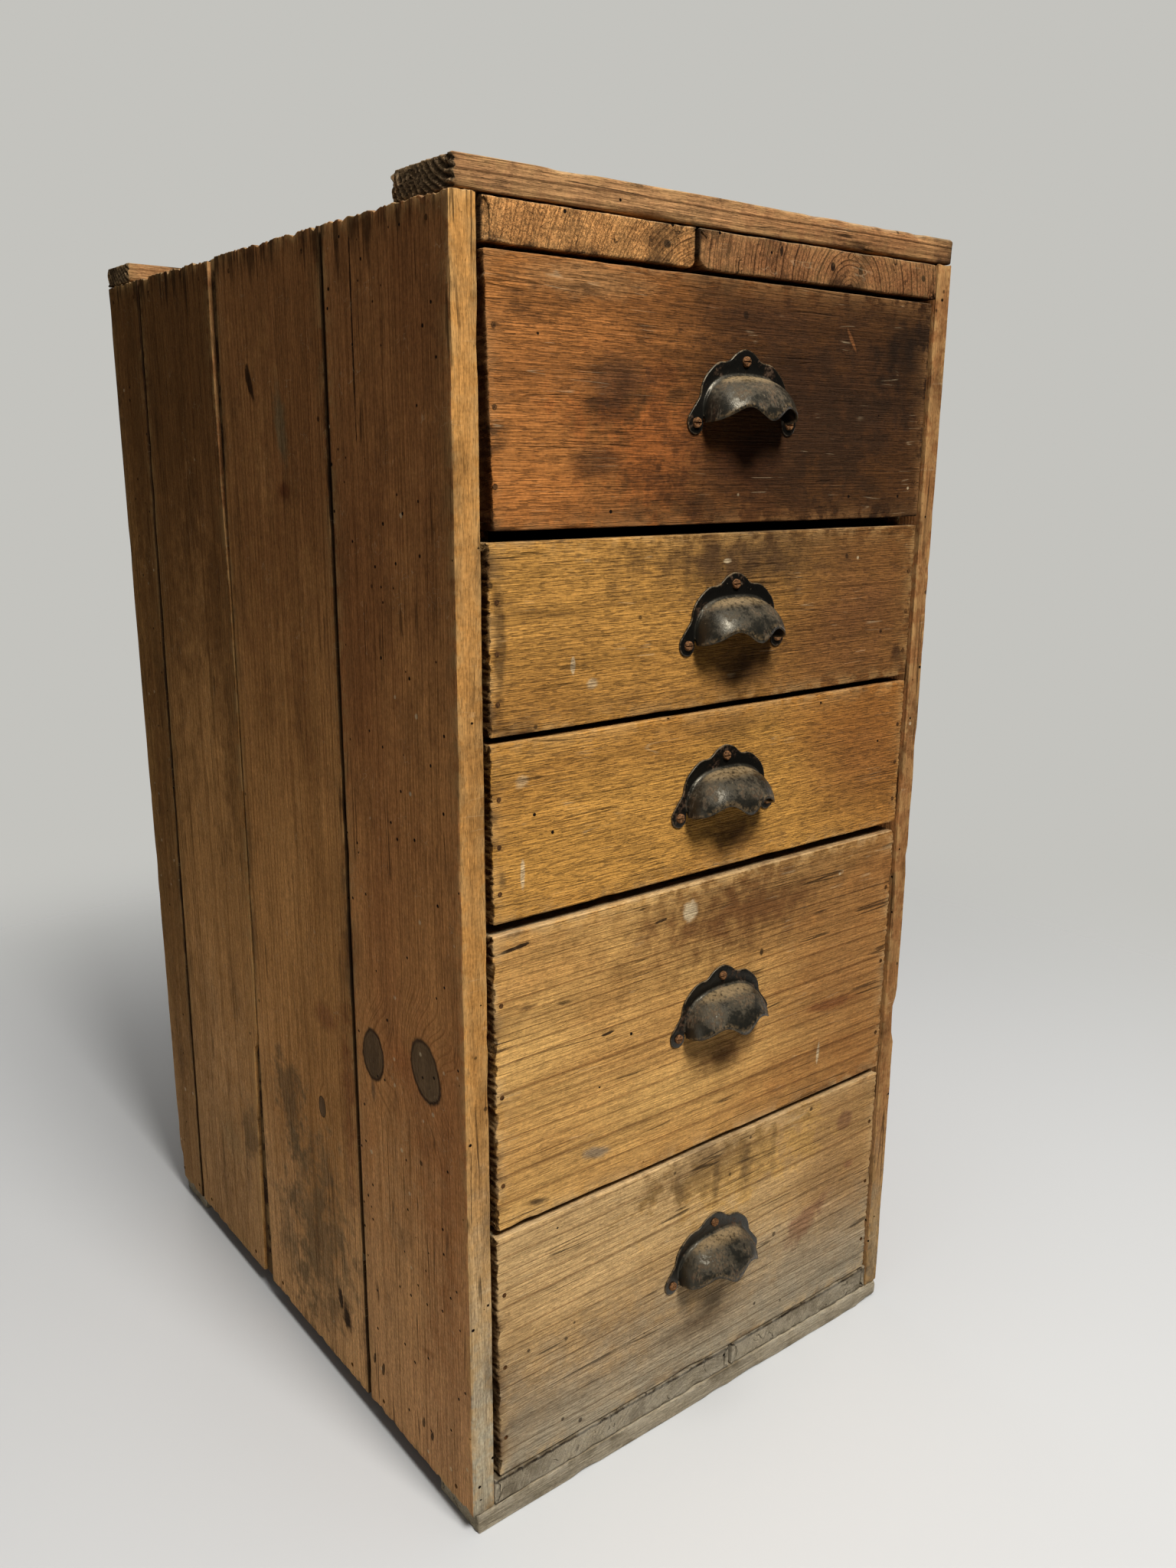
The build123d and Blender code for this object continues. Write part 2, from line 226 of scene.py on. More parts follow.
def section_loops(width, thick, radii, counts):
    """Rounded sections, as steps by points by two, and the outward direction of each point."""
    arcs = []
    outward = []
    for corner, (side_w, side_t) in enumerate(CORNERS):
        radius = radii[:, corner, None]
        angles = math.pi * (1 + (corner + np.linspace(0, 1, ARC_POINTS)) / 2)
        edge_w = width[:, int(side_w > 0), None]
        edge_t = thick[:, int(side_t > 0), None]
        arcs.append(columns(edge_w + radius * (np.cos(angles) - side_w),
                            edge_t + radius * (np.sin(angles) - side_t)))
        outward.append(columns(np.cos(angles), np.sin(angles)))
    points = []
    normals = []
    for corner, arc in enumerate(arcs):
        follow = arcs[(corner + 1) % len(arcs)]
        count = counts[corner % 2]
        shares = (np.arange(count) + 1)[None, :, None] / (count + 1)
        points += [arc, arc[:, -1:] + shares * (follow[:, :1] - arc[:, -1:])]
        normals += [outward[corner], np.repeat(outward[corner][-1:], count, axis=0)]
    return np.concatenate(points, axis=1), np.concatenate(normals, axis=0)


def grid_faces(numbers):
    """Quads between the rows of a grid of point numbers, each row a closed loop."""
    faces = []
    for first, second in zip(numbers, numbers[1:]):
        faces += zip(first, np.roll(first, -1), np.roll(second, -1), second)
    return faces


def cap_faces(loop, counts):
    """Faces that close one end inside a loop of point numbers."""
    loop = np.roll(loop, -ARC_MIDDLE)
    stops = np.cumsum([0] + [ARC_POINTS + count for count in (*counts, *counts)])
    spans = [np.arange(first, last + 1) % len(loop) for first, last in zip(stops, stops[1:])]
    low, right, high, left = [loop[span] for span in spans]
    high = high[::-1]
    return [*zip(low, low[1:], high[1:], high), tuple(right), tuple(left)]


def plank_spread(plank, axis, share):
    """Low and high edge of a plank on one axis, at shares of its length."""
    ends = [(plank.start[side][axis], plank.end[side][axis]) for side in (0, 1)]
    return columns(*[np.interp(share, (0, 1), end) for end in ends])


def worn_loops(plank, places, length, width, thick, counts):
    """The sections of a plank after wear, from end to end."""
    radii = edge_radii(plank, places, length, EDGE_LIMIT_SHARE * (thick[0, 1] - thick[0, 0]))
    loops, normals = section_loops(width, thick, radii, counts)
    across, along = FACE_CELLS
    cells = columns(loops[..., 0] / across, loops[..., 1] / across, places[:, None] / along)
    lost = plank.wear.face * between(FACE_RANGE, noise(cells + plank.seed, plank.seed))
    lost = lost + end_inset(places, length, plank.wear.end)[:, None]
    return loops - normals[None] * lost[..., None]


def with_caps(loops, width, thick, shares):
    """Adds the inner loops of both end caps."""
    half = (thick[0, 1] - thick[0, 0]) / 2
    inner = np.clip(loops[..., 0], width[:, :1] + half, width[:, 1:] - half)
    toward = columns(inner, thick.mean(axis=1)[:, None]) - loops
    first = [loops[:1] + share * toward[:1] for share in shares[::-1]]
    last = [loops[-1:] + share * toward[-1:] for share in shares]
    return np.concatenate(first + [loops] + last)


def ragged_ends(plank, loops, along, length):
    """Places along the grain after the fibres at both ends have torn out."""
    section = columns(loops[..., 0], loops[..., 1], 0)
    places = along[:, None] + 0 * loops[..., 0]
    for side, (reach, sign) in enumerate(((along, 1), (length - along, -1))):
        level = noise(section / NOTCH_CELL + side, plank.seed + NOTCH_SEED + side)
        notch = np.clip(NOTCH_STEEPNESS * (level - NOTCH_START), 0, 1)
        tooth = noise(section / TOOTH_CELL + side, plank.seed + side) ** 2
        near = np.exp(-reach / RAGGED_REACH)[:, None]
        places = places + sign * plank.wear.ragged * near * (tooth + plank.wear.notch_share * notch)
    return places


def groove_share(loops, width, thick, seed):
    """How far each point of an eroded end lies in the soft wood between two hard rings, 0 to 1."""
    across = loops[..., 0] - width[0].mean() - RIDGE_PITH[0]
    through = loops[..., 1] - thick[0].mean() - RIDGE_PITH[1]
    wobble = RIDGE_WOBBLE * noise(columns(loops[..., 0], loops[..., 1], 0) / NOTCH_CELL, seed)
    saw = (np.hypot(across, through) / RIDGE_RING + wobble) % 1
    return np.sin(math.pi * np.clip(saw / RIDGE_SOFT_SHARE, 0, 1))


def edge_share(loops, width, thick, along, length):
    """How near each point lies to an edge, where two faces of the plank meet, 0 to 1."""
    gaps = [np.minimum(loops[..., axis] - edges[:, :1], edges[:, 1:] - loops[..., axis])
            for axis, edges in enumerate((width, thick))]
    gaps.append(np.minimum(along, length - along)[:, None])
    return np.exp(-np.sort(columns(*gaps), axis=-1)[..., 1].clip(0) / EDGE_REACH)


def joint_share(plank, loops, width):
    """How near each point lies to a trimmed edge, where the plank meets its neighbour, 0 to 1."""
    share = np.zeros(loops.shape[:2])
    gaps = (loops[..., 0] - width[:, :1], width[:, 1:] - loops[..., 0])
    for trim, gap in zip((plank.low_trim, plank.high_trim), gaps):
        if trim != NO_TRIM:
            share = np.maximum(share, np.exp(-gap.clip(0) / JOINT_REACH))
    return share


def plank_shape(plank):
    """Points in metres, faces and attributes of one worn plank."""
    wear = plank.wear
    w_axis, t_axis = cross_axes(plank)
    low_end = plank.start[0][plank.grain]
    length = plank.end[1][plank.grain] - low_end
    places = lengthwise(length, wear)
    share = places / length
    width = plank_spread(plank, w_axis, share)
    thick = plank_spread(plank, t_axis, share)
    width[:, 0] += np.interp(share, *zip(*plank.low_trim))
    width[:, 1] -= np.interp(share, *zip(*plank.high_trim))
    counts = [max(least, int((spread[0, 1] - spread[0, 0]) / wear.across))
              for least, spread in zip(LEAST_COUNTS, (width, thick))]
    cap_shares = RIDGED_CAP_SHARES if plank.ridge else CAP_SHARES
    loops = worn_loops(plank, places, length, width, thick, counts)
    loops = with_caps(loops, width, thick, cap_shares)
    extra = len(cap_shares)
    along, width, thick = [np.concatenate([part[:1]] * extra + [part] + [part[-1:]] * extra)
                           for part in (places, width, thick)]

    grain_places = ragged_ends(plank, loops, along, length)
    up_share = (loops[..., 0] - width[0, 0]) / (width[0, 1] - width[0, 0])
    grain_places = grain_places + plank.lean * (1 - up_share) * (1 - along / length)[:, None]
    groove = np.zeros(loops.shape[:2])
    if plank.ridge:
        groove = groove_share(loops, width, thick, plank.seed) * np.exp(-along / RIDGE_FADE)[:, None]
        grain_places = grain_places + plank.ridge * groove

    points = np.empty((*loops.shape[:2], 3))
    points[..., plank.grain] = low_end + grain_places
    points[..., w_axis] = loops[..., 0]
    points[..., t_axis] = loops[..., 1]
    numbers = np.arange(groove.size).reshape(groove.shape)
    faces = grid_faces(numbers) + cap_faces(numbers[0], counts) + cap_faces(numbers[-1], counts)
    attributes = {"edge": edge_share(loops, width, thick, along, length), "groove": groove,
                  "joint": joint_share(plank, loops, width)}
    return points.reshape(-1, 3) * MM, faces, attributes


def add_piece(name, shapes, material, body, nodes=()):
    """One object made of closed shapes, riding on a body in place of CAD nodes."""
    points = np.concatenate([shape[0] for shape in shapes])
    faces = []
    first = 0
    for shape in shapes:
        faces += [tuple(int(number) + first for number in face) for face in shape[1]]
        first += len(shape[0])
    mesh = bpy.data.meshes.new(name)
    mesh.from_pydata(points.tolist(), [], faces)
    for attribute in shapes[0][2]:
        values = np.concatenate([shape[2][attribute].ravel() for shape in shapes])
        layer = mesh.attributes.new(attribute, "FLOAT", "POINT")
        layer.data.foreach_set("value", values.astype(np.float32))
    made = bmesh.new()
    made.from_mesh(mesh)
    bmesh.ops.recalc_face_normals(made, faces=made.faces)
    made.to_mesh(mesh)
    made.free()
    mesh.shade_smooth()
    mesh.materials.append(material)
    piece = bpy.data.objects.new(name, mesh)
    bpy.context.scene.collection.objects.link(piece)
    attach(piece, body)
    if nodes:
        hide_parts(*nodes)


# Materials
MIX_SHARE, MIX_FIRST, MIX_SECOND, MIX_RESULT = 0, 6, 7, 2


def tone(red, green, blue):
    """A colour as a screen shows it, from 0 to 255, made linear."""
    shares = [part / 255 for part in (red, green, blue)]
    linear = [s / 12.92 if s <= 0.04045 else ((s + 0.055) / 1.055) ** 2.4 for s in shares]
    return (*linear, 1.0)


class Nodes:
    """A node tree. Each call adds nodes and gives back a socket."""

    def __init__(self, tree):
        self.tree = tree

    def feed(self, socket, value):
        if isinstance(value, bpy.types.NodeSocket):
            self.tree.links.new(value, socket)
        else:
            socket.default_value = value

    def node(self, kind, *values, named=None, **settings):
        """Adds a node, with values for its first sockets and for named ones, and gives back its outputs."""
        made = self.tree.nodes.new(f"ShaderNode{kind}")
        for name, value in settings.items():
            setattr(made, name, value)
        for key, value in {**dict(enumerate(values)), **(named or {})}.items():
            self.feed(made.inputs[key], value)
        return made.outputs

    def math(self, operation, *values):
        return self.node("Math", *values, operation=operation)[0]

    def times(self, first, second):
        return self.math("MULTIPLY", first, second)

    def times_plus(self, first, second, third):
        return self.math("MULTIPLY_ADD", first, second, third)

    def vector(self, operation, *values, output="Vector"):
        return self.node("VectorMath", *values, operation=operation)[output]

    def parts(self, vector):
        return self.node("SeparateXYZ", vector)

    def ease(self, value, low, high, to_low=0.0, to_high=1.0):
        return self.node("MapRange", value, low, high, to_low, to_high, interpolation_type="SMOOTHSTEP")[0]


class Paint(Nodes):
    """The nodes of one material. A colour given to it is a socket or a screen colour."""

    def __init__(self, name):
        self.material = bpy.data.materials.new(name)
        self.material.use_nodes = True
        super().__init__(self.material.node_tree)
        self.surface = self.tree.nodes["Principled BSDF"].inputs
        coordinates = self.node("TexCoord")
        self.place = coordinates["Object"]
        self.normal = coordinates["Normal"]

    def stretch(self, scale, shift=(0, 0, 0), turn=(0, 0, 0)):
        return self.node("Mapping", self.place, shift, turn, scale)[0]

    def noise(self, place, detail=2.0, roughness=0.5, output="Fac"):
        named = {"Vector": place, "Scale": 1.0, "Detail": detail, "Roughness": roughness}
        return self.node("TexNoise", named=named)[output]

    def line_noise(self, value):
        return self.node("TexNoise", named={"W": value, "Scale": 1.0}, noise_dimensions="1D")["Fac"]

    def cells(self, place):
        made = self.node("TexVoronoi", named={"Vector": place, "Scale": 1.0})
        return made["Distance"], self.parts(made["Color"])

    def attribute(self, name):
        return self.node("Attribute", attribute_name=name)["Fac"]

    def scaled(self, colour, share):
        return self.node("VectorMath", colour, named={"Scale": share}, operation="SCALE")[0]

    def mix(self, share, first, second):
        first, second = [part if isinstance(part, bpy.types.NodeSocket) else tone(*part)
                         for part in (first, second)]
        named = {MIX_SHARE: share, MIX_FIRST: first, MIX_SECOND: second}
        return self.node("Mix", named=named, data_type="RGBA")[MIX_RESULT]

    def layer(self, colour, other, *shares):
        """Lays another colour over a colour, as far as all the shares together let it show."""
        share = shares[0]
        for more in shares[1:]:
            share = self.times(share, more)
        return self.mix(share, colour, other)

    def bump(self, height, distance):
        made = self.node("Bump", named={"Distance": distance * MM, "Height": height})
        self.feed(self.surface["Normal"], made[0])


@dataclass
class Look:
    """The wood of one board: its colours, rings, fibres, dirt, wear and holes. The end is what end grain
    keeps of each part of a colour, and tight is how much closer the rings crowd, to the metre."""
    pale: tuple
    deep: tuple
    tint: tuple
    dirt: tuple = (60, 41, 26)
    worn: tuple = (188, 148, 94)
    end: tuple = (0.7, 0.66, 0.62)
    ring: float = 3.2
    tight: float = 0.0
    ring_share: float = 0.6
    late_start: float = 0.55
    pith: tuple = (0, 60)
    warp: float = 8
    fleck: float = 0.3
    fibre: float = 0.26
    grit: float = 0.12
    band: float = 0.1
    tint_share: float = 0.7
    dirt_share: float = 0.4
    soil_share: float = 0.8
    # crease: how strongly painted shade darkens the trimmed joints, standing in for the shadow in the narrow
    # gap between planks
    crease: float = 0.0
    worn_share: float = 0.55
    dust_share: float = 0.28
    hole_share: float = 0.12
    speck_share: float = 0.08
    crack_share: float = 0.7
    relief: float = 0.5
    rough: float = 0.66
    shine: float = 0.05


@dataclass
class Mark:
    """A stain, a patch of painted shade, or a knot, on the wide face of a board: where, as shares across and
    up the face, how far it reaches, its colour, how strongly it shows, how far it is turned, in degrees, how
    soft its rim is, and how far noise tears it apart."""
    at: tuple
    reach: tuple
    colour: tuple
    strength: float
    turn: float = 0.0
    soft: float = 0.7
    tear: float = 1.7
    knot: bool = False


@dataclass
class Fade:
    """A change of colour along an axis, between two places, on the faces across an axis if one is named."""
    axis: int
    start: float
    stop: float
    colour: tuple
    strength: float
    facing: int = None


@dataclass
class Finish:
    """What a board carries besides its own wood: stains and patches of painted shade, changes of colour, and
    dark streaks along its grain between two places. The face is the two axes of the side that carries them."""
    marks: tuple = ()
    fades: tuple = ()
    streaks: tuple = ()
    face: tuple = (X, Z)


# Noise in the wood: which shift it takes, cells to the metre along and across the grain, detail, roughness
GRAINS = {
    "wander": (1, 2.2, 11.0, 2.0, 0.5),
    "fibre": (2, 20.0, 1250.0, 4.0, 0.6),
    "pore": (3, 130.0, 2000.0, 1.5, 0.5),
    "band": (4, 2.5, 70.0, 3.0, 0.5),
    "broad": (5, 3.5, 10.0, 4.0, 0.5),
    "ragged": (6, 60.0, 60.0, 7.0, 0.68),
    "grime": (7, 16.0, 34.0, 7.0, 0.68),
    "split": (9, 4.0, 110.0, 1.5, 0.5),
    "split_gate": (10, 16.0, 70.0, 1.0, 0.5),
    "streak": (11, 7.0, 130.0, 4.0, 0.6),
    "scratch_gate": (13, 40.0, 40.0, 2.0, 0.5),
    "grit": (15, 520.0, 520.0, 2.0, 0.5),
}
HOLE_CELLS = (8, 75.0)
SPECK_CELLS = (14, 52.0)
SCRATCH_SHIFT = 12
SCRATCH_CELLS = (6.0, 130.0, 130.0)
SCRATCH_TURNS = (0.3, 2.6)
SHIFTS = (-50, 50)
FAR = 1000.0
NOISE_MIDDLE = 0.5

# Easings in the wood: the values between which something comes to show, then its shares if not 0 and 1
PORES = (0.53, 0.63)
SPLITS = (0.022, 0.006)
SPLIT_GATE = (0.57, 0.66)
SCRATCHES = (0.012, 0.003)
SCRATCH_GATE = (0.56, 0.64)
HOLES = (0.095, 0.07)
SPECKS = (0.21, 0.16)
TINTS = (0.4, 0.62)
DIRT = (0.5, 0.72)
SHADES = (0.3, 0.7)
BAND_SHADES = (0.32, 0.68)
ROUGH_SHADES = (0.25, 0.75)
RUBBED = (0.44, 0.56)
SOILED = (0.5, 0.62)
CREASES = (0.35, 0.75)
POWDER = (0.2, 0.8, 0.5, 1.0)
STREAK_RAMP = (-0.22, 0.13)
STREAKS = (0.5, 0.64, 0.0, 0.7)
FACE_TURN = (0.4, 0.7)
END_TURN = (0.55, 0.85)
UP_TURN = (0.3, 0.85)
LATE_FULL = 0.93
LATE_STOP = (0.94, 1.0, 1.0, 0.0)
RING_STRENGTHS = (0.25, 0.7, 0.3, 1.0)
KNOT_SIDE = (2.8, 0.7)
KNOT_RINGS = (0.3, 0.95, 0.0, 0.15)
KNOT_SHADES = (0.3, 0.7, 0.7, 1.3)
KNOT_RIM = (0.15, 0.04)
KNOT_RIM_BREAKS = (0.36, 0.52, 0.55, 0.95)
KNOT_EDGE = (1.24, 1.1)

# Other shares in the wood
RING_DRIFT_CELLS = 0.37
RING_DRIFT = 2.2
RING_STRENGTH_CELLS = 0.71
KNOT_BULGE = 1.2
KNOT_BEND = 0.35
KNOT_RING_COUNT = 4.3
KNOT_RIM_MIDDLE = 1.13
FADE_TEARS = (1.3, 1.1)
SPECK_TEAR = 0.22
DARK_SPECKS = 0.75
PALE_SPECKS = 0.6
SCRATCH_SHARE = 0.2
# How dark the worn grooves between hard rings are painted, as dirt and painted shade
GROOVE_SHADE_AND_DIRT = 0.9
HOLE_COLOUR = (20, 13, 8)
ROUGH_SPREAD = 0.12
RELIEF_DEPTH = 0.5
PORE_RISE = -0.6
HOLE_RISE = -3.0
CRACK_RISE = -1.6
RAGGED_RISE = 1.2


class Wood(Paint):
    """Old pine on one board: rings, fibres and pores along the grain, dirt, worn edges, stains and holes."""

    def __init__(self, name, plank, look, finish):
        super().__init__(name)
        self.plank = plank
        self.look = look
        self.finish = finish
        self.facing = self.parts(self.normal)
        self.spot = self.parts(self.place)
        self.edge = self.attribute("edge")
        self.ragged = self.grain_noise("ragged")
        self.grime = self.grain_noise("grime")
        self.broad = self.grain_noise("broad")
        self.fibre = self.grain_noise("fibre")
        self.pore = self.ease(self.grain_noise("pore"), *PORES)
        self.distances = [(self.mark_distance(mark), mark) for mark in finish.marks]
        self.late = self.rings()
        self.crack = self.cracks()
        self.hole = self.holes()
        self.colour()
        self.relief()

    def along_and_across(self, along, across):
        """A scale for noise that runs along the grain."""
        return tuple(along if axis == self.plank.grain else across for axis in (X, Y, Z))

    def shift(self, order):
        """Moves noise to a place of its own on each board."""
        return tuple(np.random.default_rng((self.plank.seed, order)).uniform(*SHIFTS, 3))

    def grain_noise(self, name, output="Fac"):
        order, along, across, detail, roughness = GRAINS[name]
        place = self.stretch(self.along_and_across(along, across), self.shift(order))
        return self.noise(place, detail, roughness, output)

    def board_cells(self, order, count):
        return self.cells(self.stretch((count,) * 3, self.shift(order)))

    def thin_line(self, value, middle, reach):
        """A line where a value passes its middle."""
        return self.ease(self.math("ABSOLUTE", self.math("SUBTRACT", value, middle)), *reach)

    def toward(self, axis, turn=FACE_TURN):
        """How far a face looks along an axis, either way."""
        return self.ease(self.math("ABSOLUTE", self.facing[axis]), *turn)

    def face_axis(self):
        """The axis across the face that carries the marks."""
        return X + Y + Z - sum(self.finish.face)

    def mark_distance(self, mark):
        """Distance from a mark's middle, 1 at its rim."""
        low, high = self.plank.start[0], self.plank.end[1]
        middle = [0.0] * 3
        turn = [0.0] * 3
        scale = [FAR] * 3
        for axis, share, reach in zip(self.finish.face, mark.at, mark.reach):
            middle[axis] = between((low[axis], high[axis]), share) * MM
            scale[axis] = reach * MM
        turn[self.face_axis()] = math.radians(mark.turn)
        made = self.node("Mapping", self.place, middle, turn, scale, vector_type="TEXTURE")
        return self.vector("LENGTH", made[0], output="Value")

    def rings(self):
        """Latewood share of the growth rings round a pith beside the board, bulging round its knots."""
        plank, look = self.plank, self.look
        middle = (plank.start[0] + plank.end[1]) / 2
        keep = self.along_and_across(0.0, 1.0)
        shift = [0.0] * 3
        for axis, offset in zip(cross_axes(plank), look.pith):
            shift[axis] = -(middle[axis] + offset) * MM
        spread = [2 * look.warp * MM * part for part in keep]
        centre = [-part / 2 for part in spread]
        wander = self.vector("MULTIPLY_ADD", self.grain_noise("wander", "Color"), spread, centre)
        from_pith = self.vector("ADD", self.stretch(keep, shift), wander)
        distance = self.vector("LENGTH", from_pith, output="Value")
        for knot, mark in self.distances:
            if mark.knot:
                bulge = self.ease(knot, *KNOT_SIDE, 0.0, KNOT_BULGE * mark.reach[0] * MM)
                distance = self.math("ADD", distance, bulge)
        crowd = self.times_plus(distance, look.tight, 1.0)
        phase = self.times(self.math("DIVIDE", distance, look.ring * MM), crowd)
        phase = self.times_plus(self.line_noise(self.times(phase, RING_DRIFT_CELLS)), RING_DRIFT, phase)
        saw = self.math("FRACT", phase)
        late = self.times(self.ease(saw, look.late_start, LATE_FULL), self.ease(saw, *LATE_STOP))
        strength = self.line_noise(self.times(self.math("FLOOR", phase), RING_STRENGTH_CELLS))
        return self.times(late, self.ease(strength, *RING_STRENGTHS))

    def cracks(self):
        """Thin splits that follow the grain here and there."""
        line = self.thin_line(self.grain_noise("split"), NOISE_MIDDLE, SPLITS)
        return self.times(line, self.ease(self.grain_noise("split_gate"), *SPLIT_GATE))

    def scratches(self):
        """Fine pale lines aslant the grain."""
        turn = np.random.default_rng((self.plank.seed, SCRATCH_SHIFT)).uniform(*SCRATCH_TURNS, 3)
        wave = self.noise(self.stretch(SCRATCH_CELLS, self.shift(SCRATCH_SHIFT), turn), detail=1.0)
        line = self.thin_line(wave, NOISE_MIDDLE, SCRATCHES)
        return self.times(line, self.ease(self.grain_noise("scratch_gate"), *SCRATCH_GATE))

    def holes(self):
        """Woodworm holes."""
        distance, chosen = self.board_cells(*HOLE_CELLS)
        picked = self.math("LESS_THAN", chosen[X], self.look.hole_share)
        return self.times(self.ease(distance, *HOLES), picked)

    def specks(self, colour):
        """Small dark and pale spots."""
        distance, chosen = self.board_cells(*SPECK_CELLS)
        spot = self.ease(self.times_plus(self.ragged, SPECK_TEAR, distance), *SPECKS)
        for part, other, strength in ((Y, SOOT_AND_SHADE, DARK_SPECKS), (X, CREAM, PALE_SPECKS)):
            picked = self.math("LESS_THAN", chosen[part], self.look.speck_share)
            colour = self.layer(colour, other, spot, picked, strength)
        return colour

    def faded(self, colour):
        """Changes of colour from one end of the board to the other."""
        for fade in self.finish.fades:
            reach = abs(fade.stop - fade.start) * MM
            place = self.spot[fade.axis]
            for source, tear in zip((self.ragged, self.broad), FADE_TEARS):
                place = self.times_plus(self.math("SUBTRACT", source, NOISE_MIDDLE), tear * reach, place)
            shares = [self.ease(place, fade.start * MM, fade.stop * MM, 0.0, fade.strength)]
            if fade.facing is not None:
                shares.append(self.toward(fade.facing))
            colour = self.layer(colour, fade.colour, *shares)
        return colour

    def stained(self, colour):
        """Stains, and patches of painted shade, with torn rims."""
        for distance, mark in self.distances:
            if not mark.knot:
                torn = self.times_plus(self.ragged, mark.tear, distance)
                rim = 1 + mark.tear / 2
                share = self.ease(torn, rim, rim - mark.soft, 0.0, mark.strength)
                colour = self.mix(share, colour, mark.colour)
        return colour

    def knotted(self, colour):
        """Knots: flat dark ovals, faintly ringed, with a thin broken black rim."""
        for distance, mark in self.distances:
            if mark.knot:
                bent = self.times_plus(self.ragged, KNOT_BEND, distance)
                ringed = self.math("FRACT", self.times(bent, KNOT_RING_COUNT))
                heart = self.mix(self.ease(ringed, *KNOT_RINGS), mark.colour, SOOT_AND_SHADE)
                heart = self.scaled(heart, self.ease(self.grime, *KNOT_SHADES))
                rim = self.thin_line(bent, KNOT_RIM_MIDDLE, KNOT_RIM)
                heart = self.layer(heart, SOOT_AND_SHADE, rim, self.ease(self.grime, *KNOT_RIM_BREAKS))
                colour = self.mix(self.ease(bent, *KNOT_EDGE, 0.0, mark.strength), colour, heart)
        return colour

    def streaked(self, colour):
        """Dark streaks along the grain that thicken towards one end."""
        if not self.finish.streaks:
            return colour
        start, stop = [place * MM for place in self.finish.streaks]
        ramp = self.ease(self.spot[self.plank.grain], start, stop, *STREAK_RAMP)
        level = self.math("ADD", self.grain_noise("streak"), ramp)
        return self.layer(colour, SOOT_AND_SHADE, self.ease(level, *STREAKS), self.toward(self.face_axis()))

    def grained(self, colour):
        """Rings, fibres, grit and pores over the colour of the board."""
        look = self.look
        ratio = [min(1.0, deep / pale) for deep, pale in zip(tone(*look.deep), tone(*look.pale))][:3]
        colour = self.layer(colour, self.vector("MULTIPLY", colour, ratio), self.late, look.ring_share)
        shades = ((self.grain_noise("band"), BAND_SHADES, look.band), (self.fibre, SHADES, look.fibre),
                  (self.grain_noise("grit"), SHADES, look.grit))
        for source, reach, share in shades:
            colour = self.scaled(colour, self.ease(source, *reach, 1 - share, 1 + share))
        return self.layer(colour, look.dirt, self.pore, look.fleck)

    def worn(self, colour):
        """Other ends, rubbed and soiled edges, painted shade along trimmed joints, dust that has settled, and
        worn grooves darkened by dirt and painted shade.
        """
        look = self.look
        end_grain = self.toward(self.plank.grain, END_TURN)
        colour = self.mix(end_grain, colour, self.vector("MULTIPLY", colour, look.end))
        colour = self.layer(colour, look.worn, self.edge, self.ease(self.ragged, *RUBBED), look.worn_share)
        colour = self.layer(colour, look.dirt, self.edge, self.ease(self.grime, *SOILED), look.soil_share)
        # Painted shade along trimmed joints, where neighbouring planks leave a narrow gap
        colour = self.mix(self.ease(self.attribute("joint"), *CREASES, 0.0, look.crease), colour, SOOT_AND_SHADE)
        powder = self.ease(self.ragged, *POWDER)
        colour = self.layer(colour, CREAM, self.ease(self.facing[Z], *UP_TURN), powder, look.dust_share)
        # The worn grooves are painted near black: dirt and painted shade in the recesses
        return self.layer(colour, SOOT_AND_SHADE, self.attribute("groove"), GROOVE_SHADE_AND_DIRT)

    def colour(self):
        look = self.look
        colour = self.mix(self.ease(self.broad, *TINTS, 0.0, look.tint_share), look.pale, look.tint)
        colour = self.stained(self.faded(colour))
        colour = self.mix(self.ease(self.grime, *DIRT, 0.0, look.dirt_share), colour, look.dirt)
        colour = self.knotted(self.grained(colour))
        colour = self.specks(self.worn(colour))
        colour = self.layer(colour, CREAM, self.scratches(), SCRATCH_SHARE)
        colour = self.layer(colour, SOOT_AND_SHADE, self.crack, look.crack_share)
        colour = self.streaked(colour)
        self.feed(self.surface["Base Color"], self.mix(self.hole, colour, HOLE_COLOUR))

    def relief(self):
        look = self.look
        gloss = (look.rough + ROUGH_SPREAD, look.rough - ROUGH_SPREAD)
        self.feed(self.surface["Roughness"], self.ease(self.fibre, *ROUGH_SHADES, *gloss))
        self.feed(self.surface["Specular IOR Level"], look.shine)
        height = self.fibre
        for source, rise in ((self.late, look.relief), (self.pore, PORE_RISE), (self.hole, HOLE_RISE),
                             (self.crack, CRACK_RISE), (self.ragged, RAGGED_RISE)):
            height = self.times_plus(source, rise, height)
        self.bump(height, RELIEF_DEPTH)


def wood(name, plank, look, finish=Finish()):
    return Wood(name, plank, look, finish).material


def node_box(node):
    """The lowest and the highest corner of a CAD node."""
    low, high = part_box(node)
    return np.array(low) / MM, np.array(high) / MM


def node_points(node):
    """The corners of a CAD node's mesh."""
    return np.array([vertex.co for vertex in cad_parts[node].data.vertices]) / MM


def box_plank(low, high, grain, seed, wear, **more):
    """A plank that fills a box."""
    start_high = high.copy()
    start_high[grain] = low[grain]
    end_low = low.copy()
    end_low[grain] = high[grain]
    return Plank(np.array((low, start_high)), np.array((end_low, high)), grain, seed, wear, **more)


def node_plank(node, grain, seed, wear, sink=0.0, **more):
    """A plank that fills the box of a CAD node, or stays a little below its top."""
    low, high = node_box(node)
    high[Z] -= sink
    return box_plank(low, high, grain, seed, wear, **more)


# Where each kind of plank takes its seeds from
SIDE_SEED = 100
SIDE_SEED_STEP = 10
TONGUE_SEED = 130
END_BOARD_SEED = 140
BATTEN_SEED = 150
BACK_SEED = 160
RUNNER_SEED = 180
FRONT_SEED = 200
BOX_SEED = 300
BOX_SEED_STEP = 10

